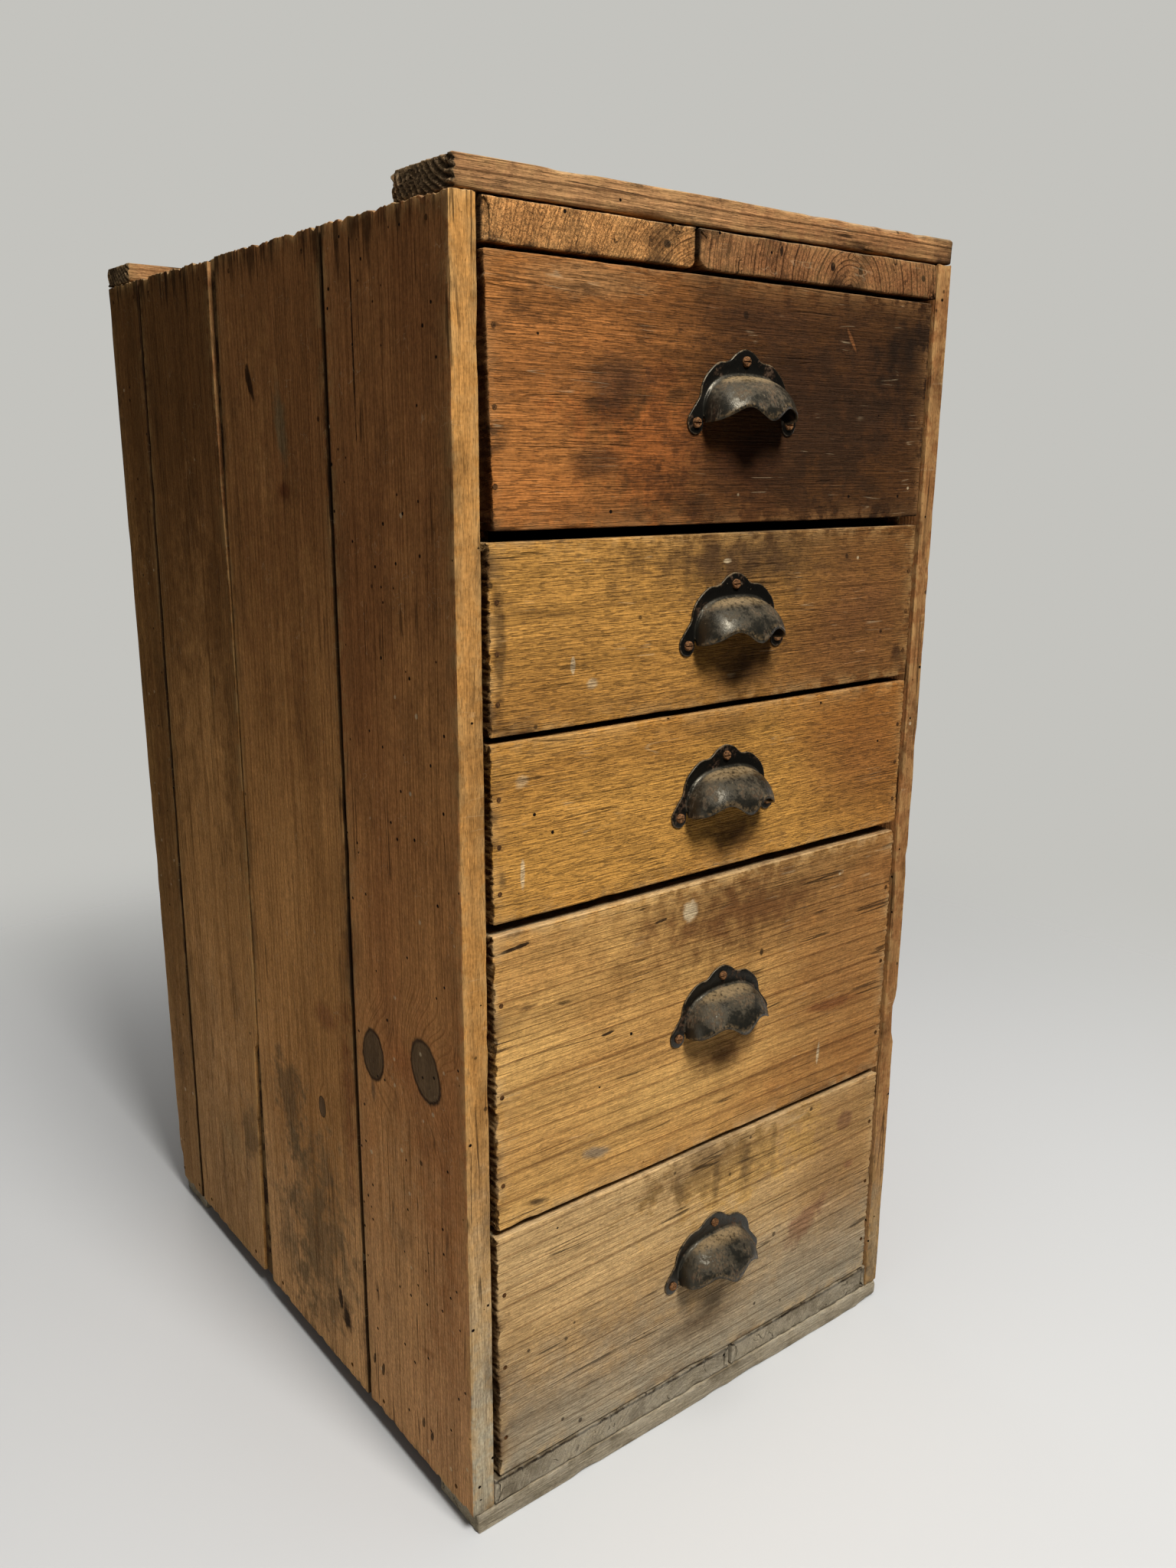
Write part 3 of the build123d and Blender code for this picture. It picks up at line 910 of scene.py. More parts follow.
# Sides
SIDE_LOOK = Look((190, 136, 80), (136, 88, 46), (162, 112, 63), ring=4.5, pith=(150, 60), fleck=0.12,
                 dirt_share=0.35, hole_share=0.08, crack_share=0.4, end=(0.5, 0.45, 0.4), fibre=0.17,
                 shine=0.02, crease=0.9)
SIDE_LOOKS = {
    1: replace(SIDE_LOOK, pale=(190, 132, 77), tint=(162, 104, 60), ring=3.4, hole_share=0.8, crack_share=0.6,
               worn_share=0.7, soil_share=0.4),
    2: replace(SIDE_LOOK, pale=(194, 139, 81), tint=(166, 116, 64)),
    3: replace(SIDE_LOOK, pale=(190, 138, 82), tint=(162, 116, 65), crease=0.0, soil_share=0.3),
    4: replace(SIDE_LOOK, pale=(174, 128, 74), tint=(142, 102, 58)),
}
# The tongues are painted near black: dirt, and the painted shade deep inside the joints
TONGUE_SHADE_LOOK = replace(SIDE_LOOK, pale=(62, 42, 27), tint=(46, 31, 20), dirt_share=0.5)
LEFT_MARKS = {
    1: (Mark((0.815, 0.358), (15, 20), (98, 78, 55), 0.95, turn=8, knot=True),
        Mark((0.33, 0.377), (18, 23), (110, 88, 62), 0.95, turn=-24, knot=True),
        Mark((0.83, 0.325), (4, 12), (96, 72, 52), 0.8, soft=0.9),
        Mark((0.55, 0.37), (36, 26), (172, 104, 58), 0.6, soft=0.9),
        Mark((0.38, 0.117), (14, 4), (118, 70, 40), 0.6, turn=-15),
        *[Mark(at, (2.2, length), SOOT_AND_SHADE, 0.9, turn=12, soft=0.3)
          for at, length in (((0.36, 0.036), 5), ((0.44, 0.04), 5), ((0.84, 0.048), 6), ((0.93, 0.05), 6))],
        Mark((0.75, 0.93), (1.2, 75), SOOT_AND_SHADE, 0.9, soft=0.3),
        Mark((0.5, 0.2), (90, 190), (190, 140, 88), 0.5, soft=1.0)),
    2: (Mark((0.356, 0.265), (6, 9), (98, 76, 54), 0.9, knot=True),
        Mark((0.72, 0.24), (34, 50), (84, 68, 46), 0.6, soft=0.8, tear=3.5),
        Mark((0.45, 0.12), (70, 110), (96, 80, 54), 0.6, soft=0.8, tear=3.5),
        Mark((0.8, 0.08), (40, 60), (84, 70, 48), 0.45, soft=0.8, tear=3.5),
        Mark((0.2, 0.06), (9, 18), SOOT_AND_SHADE, 0.95, turn=-12),
        Mark((0.7, 0.895), (5, 16), SOOT_AND_SHADE, 0.9, turn=-24, soft=0.4),
        Mark((0.42, 0.86), (12, 34), (112, 98, 70), 0.7, turn=-8),
        Mark((0.42, 0.81), (14, 9), (96, 50, 28), 0.7),
        Mark((0.08, 0.3), (14, 120), (128, 76, 42), 0.7, soft=1.0),
        Mark((0.28, 0.36), (30, 14), (132, 80, 46), 0.6),
        Mark((0.26, 0.075), (5, 10), SOOT_AND_SHADE, 0.9, turn=-10, soft=0.4)),
    3: (Mark((0.12, 0.16), (26, 36), (80, 66, 44), 0.55, tear=3.0),
        Mark((0.5, 0.13), (40, 30), (150, 118, 76), 0.6, soft=1.0),
        Mark((0.25, 0.62), (6, 40), (110, 78, 44), 0.5)),
}
# Side faces darken towards the top and the rear and turn paler towards the foot: partly dirt, partly painted
# shade high up and painted light from the floor low down
SIDE_FADES = (Fade(Z, 340, 800, (134, 87, 51), 0.8, facing=X),
              Fade(Z, 300, 60, (204, 162, 114), 0.45, facing=X),
              Fade(Y, 20, 300, (132, 94, 53), 0.55, facing=X))
# Rear planks' outer faces darken further towards the top, partly dirt and partly painted shade
REAR_FADES = (Fade(Z, 220, 850, (104, 71, 39), 0.7, facing=X),
              # Painted light: the upper front edges of the rear planks, bared in the open joint, are painted
              # pale as if lit
              Fade(Z, 560, 700, (178, 122, 76), 0.9, facing=Y))
FRONT_EDGE_FADES = {
    "left": (Fade(Z, -300, -200, (186, 134, 72), 0.9, facing=Y),
             Fade(Z, 340, 160, (178, 154, 115), 0.85, facing=Y),
             Fade(Z, 200, 90, (166, 157, 134), 0.85, facing=Y)),
    "right": (Fade(Z, -300, -200, (144, 100, 60), 0.9, facing=Y),
              Fade(Z, 200, 60, (150, 130, 98), 0.8, facing=Y)),
}
FRONT_BOARD = SIDE_BOARDS[0]
REAR_BOARDS = SIDE_BOARDS[2:]
SIDE_STREAKS = (780, 870)
JOINT_TRIM = ((0, 0.9), (1, 0.9))
LEFT_TRIMS = {
    2: {"high_trim": ((0, 5), (0.28, 1.4), (0.45, 1.2), (0.77, -2.5), (1, -1))},
    3: {"low_trim": ((0, 4.5), (0.26, 0.5), (0.275, -6), (0.45, -6), (0.72, -2.3), (0.8, 2.5), (0.9, 5),
                     (1, 6))},
}
SIDE_BITES = {("right", 1): (Bite(3, 0.3, 42, 6), Bite(3, 0.47, 18, 3)),
              ("left", 4): (Bite(1, 0.0, 70, 7), Bite(2, 0.0, 50, 6)),
              ("left", 1): (Bite(0, 0.55, 30, 2.5), Bite(0, 0.08, 30, 3))}
LEFT_WEAR = Wear(edge=0.7, end=0.7, ragged=1.6, notch_share=1.5, chip=1.4, chip_count=12, step=4, across=2)
SIDE_WEARS = {"left": LEFT_WEAR, "right": replace(LEFT_WEAR, step=8, across=6)}
TONGUE_WEAR = Wear(edge=0.8, ragged=1.5, chip=1, step=12)
TONGUE_HOLD = 20
OPEN_TONGUES = {("left", 3): (12, (0.6, 4))}
SHUT_TONGUE = (5.5, (-1, -1))
FACE_TOLERANCE = 0.1


def face_span(node, face_x):
    """Where a side plank's outer face begins and ends in depth, at its foot and at its head."""
    points = node_points(node)
    face = points[abs(points[:, X] - face_x) < FACE_TOLERANCE]
    middle = points[:, Z].mean()
    foot = face[face[:, Z] < middle][:, Y]
    head = face[face[:, Z] > middle][:, Y]
    return (foot.min(), foot.max()), (head.min(), head.max())


def side_plank(side, number, seed):
    """A plank of one side, between its slightly slanting edges."""
    node = f"{side}_side_board_{number}"
    low, high = node_box(node)
    foot, head = face_span(node, low[X] if side == "left" else high[X])
    start = np.array(((low[X], foot[0], low[Z]), (high[X], foot[1], low[Z])))
    end = np.array(((low[X], head[0], high[Z]), (high[X], head[1], high[Z])))
    trims = {}
    if number > SIDE_BOARDS[0]:
        trims["low_trim"] = JOINT_TRIM
    if number < SIDE_BOARDS[-1]:
        trims["high_trim"] = JOINT_TRIM
    if side == "left":
        trims.update(LEFT_TRIMS.get(number, {}))
    return Plank(start, end, Z, seed, SIDE_WEARS[side], SIDE_BITES.get((side, number), ()), **trims)


def tongue_strip(plank, front, thickness, gaps, seed):
    """The tongue of a plank, in its joint with the plank in front, at the gaps given for foot and head."""
    middle = (plank.start[0][X] + plank.start[1][X]) / 2
    ends = []
    for own, other, gap in zip((plank.start, plank.end), (front.start, front.end), gaps):
        level = own[0][Z]
        ends.append(np.array(((middle - thickness / 2, other[1][Y] + gap, level),
                              (middle + thickness / 2, own[0][Y] + TONGUE_HOLD, level))))
    return Plank(ends[0], ends[1], Z, seed, TONGUE_WEAR)


def side_finish(side, number):
    """The stains and the changes of colour on a side plank."""
    fades = SIDE_FADES
    if number == FRONT_BOARD:
        fades += FRONT_EDGE_FADES[side]
    if number in REAR_BOARDS:
        fades += REAR_FADES
    marks = LEFT_MARKS.get(number, ()) if side == "left" else ()
    return Finish(marks, fades, SIDE_STREAKS, (Y, Z))


def sides():
    """The planks of both sides, and the tongues in their joints."""
    for order, side in enumerate(("left", "right")):
        front = None
        for number in SIDE_BOARDS:
            seed = SIDE_SEED + SIDE_SEED_STEP * order + number
            plank = side_plank(side, number, seed)
            name = f"{side}_plank_{number}"
            material = wood(name, plank, SIDE_LOOKS[number], side_finish(side, number))
            node = f"{side}_side_board_{number}"
            add_piece(name, [plank_shape(plank)], material, "carcass", [node])
            if front:
                thickness, gaps = OPEN_TONGUES.get((side, number), SHUT_TONGUE)
                strip = tongue_strip(plank, front, thickness, gaps, TONGUE_SEED + seed)
                name = f"{side}_tongue_{number}"
                add_piece(name, [plank_shape(strip)], wood(name, strip, TONGUE_SHADE_LOOK), "carcass")
            front = plank


# Boards that show their ends at the front, and battens
# The top boards soil their edges fully and darken their joint, which paints shade into the dark lines at
# their edges as well as dirt
TOP_LEFT_LOOK = Look((186, 133, 78), (120, 78, 42), (146, 100, 57), ring=2.6, pith=(90, -40), warp=3,
                     end=(0.95, 0.92, 0.9), dirt_share=0.55, hole_share=0.8, fleck=0.6, grit=0.4, relief=0.9,
                     soil_share=1.0, worn_share=0.3, crease=0.9)
TOP_RIGHT_LOOK = replace(TOP_LEFT_LOOK, pale=(152, 106, 66), deep=(60, 36, 20), tint=(120, 77, 46), ring=3,
                         ring_share=1.0, pith=(22, -14), warp=2, hole_share=0.6, grit=0.3)
FOOT_LOOK = Look((158, 145, 121), (118, 105, 84), (138, 126, 104), dirt=(84, 72, 55), worn=(178, 167, 146),
                 end=(1.0, 1.0, 1.0), ring=3, ring_share=0.35, pith=(70, -60), warp=3, fleck=0.2,
                 hole_share=0.05, relief=0.7, rough=0.8, dirt_share=0.35)
TOP_BATTEN_LOOK = Look((162, 119, 77), (104, 70, 42), (136, 92, 56), ring=3, ring_share=0.75, pith=(-60, -45),
                       warp=5, end=(1.0, 1.3, 1.7), relief=1.0, dirt_share=0.55, worn_share=0.4,
                       soil_share=1.0)
END_BOARD_LOOKS = {"top_board_left": TOP_LEFT_LOOK, "top_board_right": TOP_RIGHT_LOOK,
                   "bottom_board_left": FOOT_LOOK, "bottom_board_right": FOOT_LOOK}
BATTEN_LOOKS = {"top_front_batten": TOP_BATTEN_LOOK, "top_rear_batten": TOP_BATTEN_LOOK,
                "base_front_batten": FOOT_LOOK, "base_rear_batten": FOOT_LOOK}
END_BOARD_WEAR = Wear(edge=0.9, ragged=1.6, face=0.9, chip=3.5, chip_count=4, step=6, across=4)
BATTEN_WEAR = Wear(edge=0.9, ragged=1.2, chip_count=8, step=4, across=2.5)
END_BOARD_SINK = 0.8
END_BOARD_TRIM = ((0, 0.5), (1, 0.5))
TOP_LEFT_TRIM = ((0, 2.6), (0.3, 0.5), (1, 0.5))
END_BOARD_BITES = {"top_board_right": (Bite(0, 0.0, 46, 8),), "top_board_left": (Bite(1, 0.0, 16, 3),)}
NAIL_HOLE = Mark((0.5, 0.5), (2.8, 2.6), SOOT_AND_SHADE, 0.98, soft=0.3, tear=0.5)
END_BOARD_MARKS = {
    "top_board_left": (replace(NAIL_HOLE, at=(0.85, 0.5), reach=(3.4, 2.8), tear=0.6),),
    "top_board_right": (replace(NAIL_HOLE, at=(0.31, 0.72), reach=(1.6, 3.6), strength=0.95),
                        replace(NAIL_HOLE, at=(0.52, 0.52), reach=(2.5, 3.2)),
                        replace(NAIL_HOLE, at=(0.64, 0.52), reach=(2.8, 3.4)),
                        replace(NAIL_HOLE, at=(0.93, 0.55))),
}
BOTTOM_LOW, BOTTOM_HIGH = [corner[Z] for corner in node_box("bottom_board_left")]
# Painted shade: a dark band along the top of the bottom boards, in the gap under the lowest drawer, and a
# fainter one at their lower edge
FOOT_SEAM_SHADES = (Fade(Z, BOTTOM_HIGH - 4.8, BOTTOM_HIGH - 3.2, SOOT_AND_SHADE, 0.95),
              Fade(Z, BOTTOM_LOW + 2.6, BOTTOM_LOW + 1.1, SOOT_AND_SHADE, 0.5))
BATTEN_BITES = {"top_front_batten": (Bite(3, 0.85, 300, 2.5), Bite(0, 0.3, 160, 1.5), Bite(0, 0.8, 120, 2.5),
                                     Bite(2, 0.0, 60, 5)),
                "base_front_batten": (Bite(3, 1.0, 70, 4), Bite(0, 1.0, 50, 4), Bite(3, 0.45, 60, 2.5))}
BATTEN_RIDGES = {"top_front_batten": 2.6, "top_rear_batten": 1.0}


def end_boards():
    """The boards of the top and of the bottom, which show their ends at the front."""
    for order, (node, look) in enumerate(END_BOARD_LOOKS.items()):
        low_trim = TOP_LEFT_TRIM if node == "top_board_left" else END_BOARD_TRIM
        plank = node_plank(node, Y, END_BOARD_SEED + order, END_BOARD_WEAR, END_BOARD_SINK,
                           bites=END_BOARD_BITES.get(node, ()), low_trim=low_trim, high_trim=END_BOARD_TRIM)
        name = node.replace("board", "plank")
        finish = Finish(END_BOARD_MARKS.get(node, ()), FOOT_SEAM_SHADES if look is FOOT_LOOK else ())
        material = wood(name, plank, look, finish)
        add_piece(name, [plank_shape(plank)], material, "carcass", [node])


def battens():
    """The battens across the top and under the base."""
    for order, (node, look) in enumerate(BATTEN_LOOKS.items()):
        plank = node_plank(node, X, BATTEN_SEED + order, BATTEN_WEAR, bites=BATTEN_BITES.get(node, ()),
                           ridge=BATTEN_RIDGES.get(node, 0.0))
        name = node.replace("batten", "strip")
        add_piece(name, [plank_shape(plank)], wood(name, plank, look), "carcass", [node])


# Back, runners and drawer boxes
BACK_LOOK = Look((164, 126, 80), (124, 86, 48), (136, 104, 68), ring=4.5, pith=(120, 60))
INNER_LOOK = Look((178, 140, 90), (140, 100, 58), (158, 122, 80), ring=4, ring_share=0.5, pith=(110, 60),
                  hole_share=0.02, dirt_share=0.3)
BACK_WEAR = Wear(ragged=1.5, step=8, across=25)
INNER_WEAR = Wear(chip=1.5, chip_count=2, step=25, across=40)
BOX_GRAINS = {"side_left": Y, "side_right": Y, "back": X, "bottom": X}


def back():
    """The upright boards of the back."""
    for number in SIDE_BOARDS:
        node = f"back_board_{number}"
        plank = node_plank(node, Z, BACK_SEED + number, BACK_WEAR)
        name = f"back_plank_{number}"
        add_piece(name, [plank_shape(plank)], wood(name, plank, BACK_LOOK), "carcass", [node])


def runner_cleats(number):
    """The left and the right cleat of one CAD node."""
    low, high = node_box(f"runner_pair_{number}")
    across = node_points(f"runner_pair_{number}")[:, X]
    left_high = np.array((across[across < 0].max(), high[Y], high[Z]))
    right_low = np.array((across[across > 0].min(), low[Y], low[Z]))
    return [box_plank(*corners, Y, RUNNER_SEED + 2 * number + order, INNER_WEAR)
            for order, corners in enumerate(((low, left_high), (right_low, high)))]


def runners():
    """The cleats that carry the drawers, two to a CAD node."""
    pairs = {number: runner_cleats(number) for number in DRAWERS[:-1]}
    material = wood("runner_pine", pairs[1][-1], INNER_LOOK)
    for number, cleats in pairs.items():
        shapes = [plank_shape(cleat) for cleat in cleats]
        add_piece(f"runners_{number}", shapes, material, "carcass", [f"runner_pair_{number}"])


def box_board(number, part):
    """One board of a drawer's box, behind its front."""
    seed = BOX_SEED + BOX_SEED_STEP * number + list(BOX_GRAINS).index(part)
    return node_plank(f"drawer_{number}_{part}", BOX_GRAINS[part], seed, INNER_WEAR)


def drawer_box(number, materials):
    """The sides, the back and the bottom of one drawer."""
    body = f"drawer_{number}"
    for part, material in materials.items():
        shapes = [plank_shape(box_board(number, part))]
        add_piece(f"{body}_{part}_board", shapes, material, body, [f"{body}_{part}"])


# Drawer fronts
# The fronts keep little of their colour on end grain, so their ends are dark with dirt and with painted shade
# for the gaps beside them
FINE_LOOK = Look((170, 123, 66), (112, 74, 38), (138, 95, 50), dirt=(70, 47, 28), ring=1.9, ring_share=0.28,
                 pith=(260, 60), warp=5, fleck=0.6, band=0.07, crack_share=0.35, hole_share=0.05,
                 dust_share=0.1, end=(0.28, 0.24, 0.2))
LINED_LOOK = Look((206, 159, 92), (112, 70, 34), (182, 130, 70), dirt=(84, 58, 34), worn=(206, 170, 118),
                  ring=26, tight=10.0, ring_share=0.65, late_start=0.7, pith=(-160, 70), warp=7, fleck=0.25,
                  band=0.07, dirt_share=0.2, hole_share=0.04, dust_share=0.3, end=(0.28, 0.24, 0.2))
FRONT_LOOKS = {
    1: replace(FINE_LOOK, pale=(168, 108, 54), deep=(94, 57, 28), tint=(136, 85, 43), dirt=(46, 31, 19),
               worn=(150, 108, 66), dirt_share=0.75, hole_share=0.06, fleck=0.5, speck_share=0.14),
    2: replace(FINE_LOOK, pale=(180, 130, 63), deep=(118, 78, 36), tint=(148, 102, 48)),
    3: replace(FINE_LOOK, pale=(190, 138, 66), deep=(128, 84, 38), tint=(164, 111, 52), dirt_share=0.3),
    4: LINED_LOOK,
    5: replace(LINED_LOOK, pale=(200, 163, 110), deep=(132, 96, 58), tint=(176, 138, 88), pith=(150, 80),
               ring=14, tight=6.0, ring_share=0.7, dirt_share=0.25),
}
FRONT_MARKS = {
    1: (Mark((0.8, 0.5), (150, 95), (64, 41, 25), 0.95, soft=1.1),
        Mark((0.3, 0.35), (70, 50), (158, 88, 40), 0.5, soft=0.8, tear=4.0),
        Mark((0.62, 0.4), (120, 70), (44, 31, 20), 0.5, soft=0.6, tear=5.0),
        # Painted shadow under the pull's cup
        Mark((0.545, 0.26), (34, 22), SOOT_AND_SHADE, 0.9, soft=0.8),
        Mark((0.55, 0.85), (84, 28), (68, 43, 25), 0.9, soft=1.0),
        # Darker patch under the pull: painted shadow of the pull mixed with grime from hands
        Mark((0.5, 0.2), (70, 40), (76, 46, 26), 0.8, soft=1.0),
        Mark((0.94, 0.75), (52, 50), (34, 24, 16), 0.95, soft=1.0),
        Mark((0.66, 0.55), (30, 50), (60, 38, 23), 0.7, soft=0.9),
        Mark((0.24, 0.57), (34, 20), (80, 54, 34), 0.7),
        Mark((0.2, 0.26), (30, 14), (70, 47, 29), 0.7),
        Mark((0.1, 0.14), (60, 28), (168, 104, 50), 0.6, soft=1.0),
        Mark((0.18, 0.93), (60, 12), (160, 120, 76), 0.5),
        Mark((0.515, 0.86), (3, 3), SOOT_AND_SHADE, 0.9, soft=0.3),
        Mark((0.78, 0.8), (1.5, 10), (130, 82, 46), 0.7, turn=-35, soft=0.4)),
    2: (Mark((0.53, 0.84), (150, 44), (78, 56, 36), 0.95, soft=1.0),
        Mark((0.84, 0.45), (100, 60), (116, 76, 43), 0.9, soft=1.1),
        # Darker patch under the pull: painted shadow of the pull mixed with grime from hands
        Mark((0.54, 0.2), (50, 24), (66, 45, 27), 0.85, soft=1.0),
        Mark((0.2, 0.22), (5, 4), CREAM, 0.55, soft=0.6),
        Mark((0.16, 0.33), (2, 7), CREAM, 0.7, soft=0.4),
        Mark((0.49, 0.84), (5, 2), CREAM, 0.6, soft=0.5),
        Mark((0.965, 0.16), (8, 8), (60, 38, 22), 0.85),
        Mark((0.02, 0.5), (6, 50), (70, 49, 28), 0.7)),
    3: (Mark((0.87, 0.5), (95, 62), (142, 92, 47), 0.8, soft=1.1),
        # Darker patch under the pull: painted shadow of the pull mixed with grime from hands
        Mark((0.53, 0.18), (46, 20), (76, 51, 29), 0.8, soft=1.0),
        Mark((0.5, 0.9), (60, 12), (118, 84, 46), 0.5, soft=1.0),
        Mark((0.06, 0.78), (6, 5), CREAM, 0.45, soft=0.6),
        Mark((0.06, 0.26), (2, 12), CREAM, 0.7, soft=0.4),
        Mark((0.02, 0.25), (4, 9), (70, 49, 28), 0.7)),
    4: (Mark((0.58, 0.86), (190, 58), (106, 68, 37), 0.95, soft=1.0),
        Mark((0.86, 0.45), (110, 100), (148, 102, 57), 0.7, soft=1.1),
        Mark((0.43, 0.905), (8, 9), CREAM, 0.9, soft=0.45),
        # Darker patch under the pull: painted shadow of the pull mixed with grime from hands
        Mark((0.52, 0.32), (40, 20), (106, 67, 36), 0.75, soft=1.0),
        Mark((0.84, 0.36), (45, 7), (116, 66, 35), 0.75, turn=4),
        Mark((0.22, 0.14), (16, 6), (140, 126, 106), 0.75, turn=15),
        Mark((0.09, 0.05), (11, 3.5), (54, 37, 23), 0.85, turn=12),
        Mark((0.8, 0.18), (1.6, 12), CREAM, 0.75, turn=4, soft=0.4),
        Mark((0.035, 0.945), (15, 1.4), SOOT_AND_SHADE, 0.95, turn=-6, soft=0.3),
        Mark((0.24, 0.56), (7, 1.2), SOOT_AND_SHADE, 0.95, turn=-4, soft=0.3),
        Mark((0.36, 0.9), (6, 1.2), SOOT_AND_SHADE, 0.9, turn=-6, soft=0.3),
        Mark((0.62, 0.67), (3, 4), SOOT_AND_SHADE, 0.85, soft=0.4),
        Mark((0.07, 0.74), (9, 2), (84, 54, 30), 0.7)),
    5: (Mark((0.6, 0.82), (120, 38), (198, 152, 80), 0.65, soft=0.8, tear=4.0),
        Mark((0.5, 0.93), (95, 34), (110, 84, 53), 0.6, soft=0.9, tear=4.0),
        Mark((0.42, 0.86), (8, 34), (92, 70, 46), 0.5, soft=0.9),
        Mark((0.52, 0.84), (5, 30), (92, 70, 46), 0.5, soft=0.9, tear=2.4),
        Mark((0.6, 0.85), (8, 36), (96, 74, 48), 0.5, soft=0.9),
        Mark((0.68, 0.87), (5, 30), (104, 80, 52), 0.45, soft=0.9, tear=2.4),
        Mark((0.86, 0.55), (70, 70), (148, 112, 72), 0.6, soft=1.1),
        Mark((0.9, 0.83), (12, 11), (122, 84, 58), 0.7, soft=0.5, tear=1.2),
        Mark((0.79, 0.42), (34, 15), (128, 86, 60), 0.65, turn=-32, tear=2.4),
        # Darker patch under the pull: painted shadow of the pull mixed with grime from hands
        Mark((0.5, 0.2), (55, 24), (106, 86, 62), 0.75, soft=1.0),
        Mark((0.92, 0.6), (10, 6), (136, 90, 62), 0.6)),
}
FRONT_FADES = {1: (Fade(X, -140, 100, (54, 34, 18), 0.9),),
               2: (Fade(X, -40, 140, (106, 68, 37), 0.8),),
               3: (Fade(X, 20, 190, (146, 92, 43), 0.75),),
               4: (Fade(X, -20, 180, (146, 95, 49), 0.8),),
               5: (Fade(X, 40, 190, (152, 110, 62), 0.6), Fade(Z, 155, 70, (156, 138, 110), 0.9),
                   Fade(Z, 90, 35, (146, 135, 113), 0.7))}
FRONT_PLANE = node_box("drawer_1_front")[0][Y]
# Painted shade on the top and bottom faces of the fronts, a few millimetres behind the front edge, where the
# gaps between drawers lie in shadow
GAP_SHADE_FADES = (Fade(Y, FRONT_PLANE + 3.5, FRONT_PLANE + 7.5, SOOT_AND_SHADE, 0.95, facing=Z),)
FRONT_LEANS = {1: 4.5, 2: 0.5, 3: 0.8, 4: 1.0, 5: 0.6}
FRONT_TEARS = {1: 0.8, 2: 1.7, 3: 1.7, 4: 2.6, 5: 2.4}
FRONT_WEAR = Wear(edge=1.1, chip=2, chip_count=6, across=1)


def drawer_front(number):
    """The front of one drawer, with its own stains."""
    body = f"drawer_{number}"
    wear = replace(FRONT_WEAR, ragged=FRONT_TEARS[number])
    plank = node_plank(f"{body}_front", X, FRONT_SEED + number, wear, lean=FRONT_LEANS[number])
    finish = Finish(FRONT_MARKS[number], FRONT_FADES[number] + GAP_SHADE_FADES)
    material = wood(f"{body}_face", plank, FRONT_LOOKS[number], finish)
    add_piece(f"{body}_face", [plank_shape(plank)], material, body, [f"{body}_front"])


def drawers():
    """The fronts, and the boxes behind them, which share their materials."""
    materials = {part: wood(f"box_{part}", box_board(1, part), INNER_LOOK) for part in BOX_GRAINS}
    for number in DRAWERS:
        drawer_front(number)
        drawer_box(number, materials)


# Cup pulls: a flange with three lugs round a bulging cup that is open below
PULL_OUTLINE = ((0, 45), (8, 42.4), (14.5, 37.6), (24, 36), (33, 29), (37, 22.5), (38.6, 15.5), (43.2, 9.2),
                (47.8, 2.2), (46.4, -4.4), (41, -7), (36.4, -4.6), (35.6, -0.6))
PULL_POINTS = 96
CURVE_PARTS = 12
SHEET = 1.2
# Rows over the flange, as (inset, sheets high), then up to the cup, as (distance before it, sheets high)
FLANGE_ROWS = ((0, 0), (0, 0.5), (0.35, 0.9), (0.9, 1))
FOOT_ROWS = ((2.2, 1.0), (1.2, 1.25), (0.4, 1.9))
FOOT_LIMIT = 0.4
CUP_ROWS = 14
CUP_HALF_WIDTH = 36.0
CUP_RISE = 28.8
CUP_REACH = 27.6
CUP_FULLNESS = 2.8
CUP_TURNS = ((0, 0.2, 0.8, 1), (0.015, 0.12, 0.88, 0.985))
OUTSIDE_START = math.radians(83)
INSIDE_START = math.radians(90)
LIP_ARCH = 8.5
LIP_LOBE = 1.5
LIP_LIMIT = 0.95
LUG_RADIUS = 7


def smooth_line(points, count):
    """Points evenly along a smooth curve through a few given points."""
    ends = np.concatenate([2 * points[:1] - points[1:2], points, 2 * points[-1:] - points[-2:-1]])
    parts = np.linspace(0, 1, CURVE_PARTS, endpoint=False)[:, None]
    pieces = []
    for a, b, c, d in zip(ends, ends[1:], ends[2:], ends[3:]):
        pieces.append(0.5 * (2 * b + (c - a) * parts + (2 * a - 5 * b + 4 * c - d) * parts ** 2
                             + (3 * b - a - 3 * c + d) * parts ** 3))
    line = np.concatenate(pieces + [points[-1:]])
    run = np.concatenate([[0], np.cumsum(np.linalg.norm(np.diff(line, axis=0), axis=1))])
    wanted = np.linspace(0, run[-1], count)
    return columns(*[np.interp(wanted, run, line[:, axis]) for axis in (0, 1)])


def cup_section(turn, wall):
    """Ribs of the cup: their places across, and their sizes in rise and in reach, inside a wall."""
    across = -np.cos(turn)
    size = (1 - np.abs(across) ** CUP_FULLNESS) ** (1 / CUP_FULLNESS)
    return across * (CUP_HALF_WIDTH - wall), size * (CUP_RISE - wall), size * (CUP_REACH - wall)


def cup_rows(turn, wall, first_angle):
    """Rows of points over the cup from the flange to the wavy lip."""
    across, rise, reach = cup_section(turn, wall)
    place = np.abs(across) / CUP_HALF_WIDTH
    wave = np.sin(math.pi * np.clip(place, 0, 1)) ** (2 - place)
    lip = LIP_ARCH * wave + LIP_LOBE * np.cos(math.pi * place / 2) ** 2
    last_angle = np.arcsin(np.clip(lip / rise, 0, LIP_LIMIT))
    rows = []
    for share in np.linspace(0, 1, CUP_ROWS):
        angle = between((first_angle, last_angle), share)
        rows.append(columns(across, -reach * np.cos(angle), rise * np.sin(angle)))
    return rows


def flat_row(line, sheets):
    """A row of points on the flange, some sheets in front of the drawer."""
    return columns(line[:, 0], -sheets * SHEET, line[:, 1])


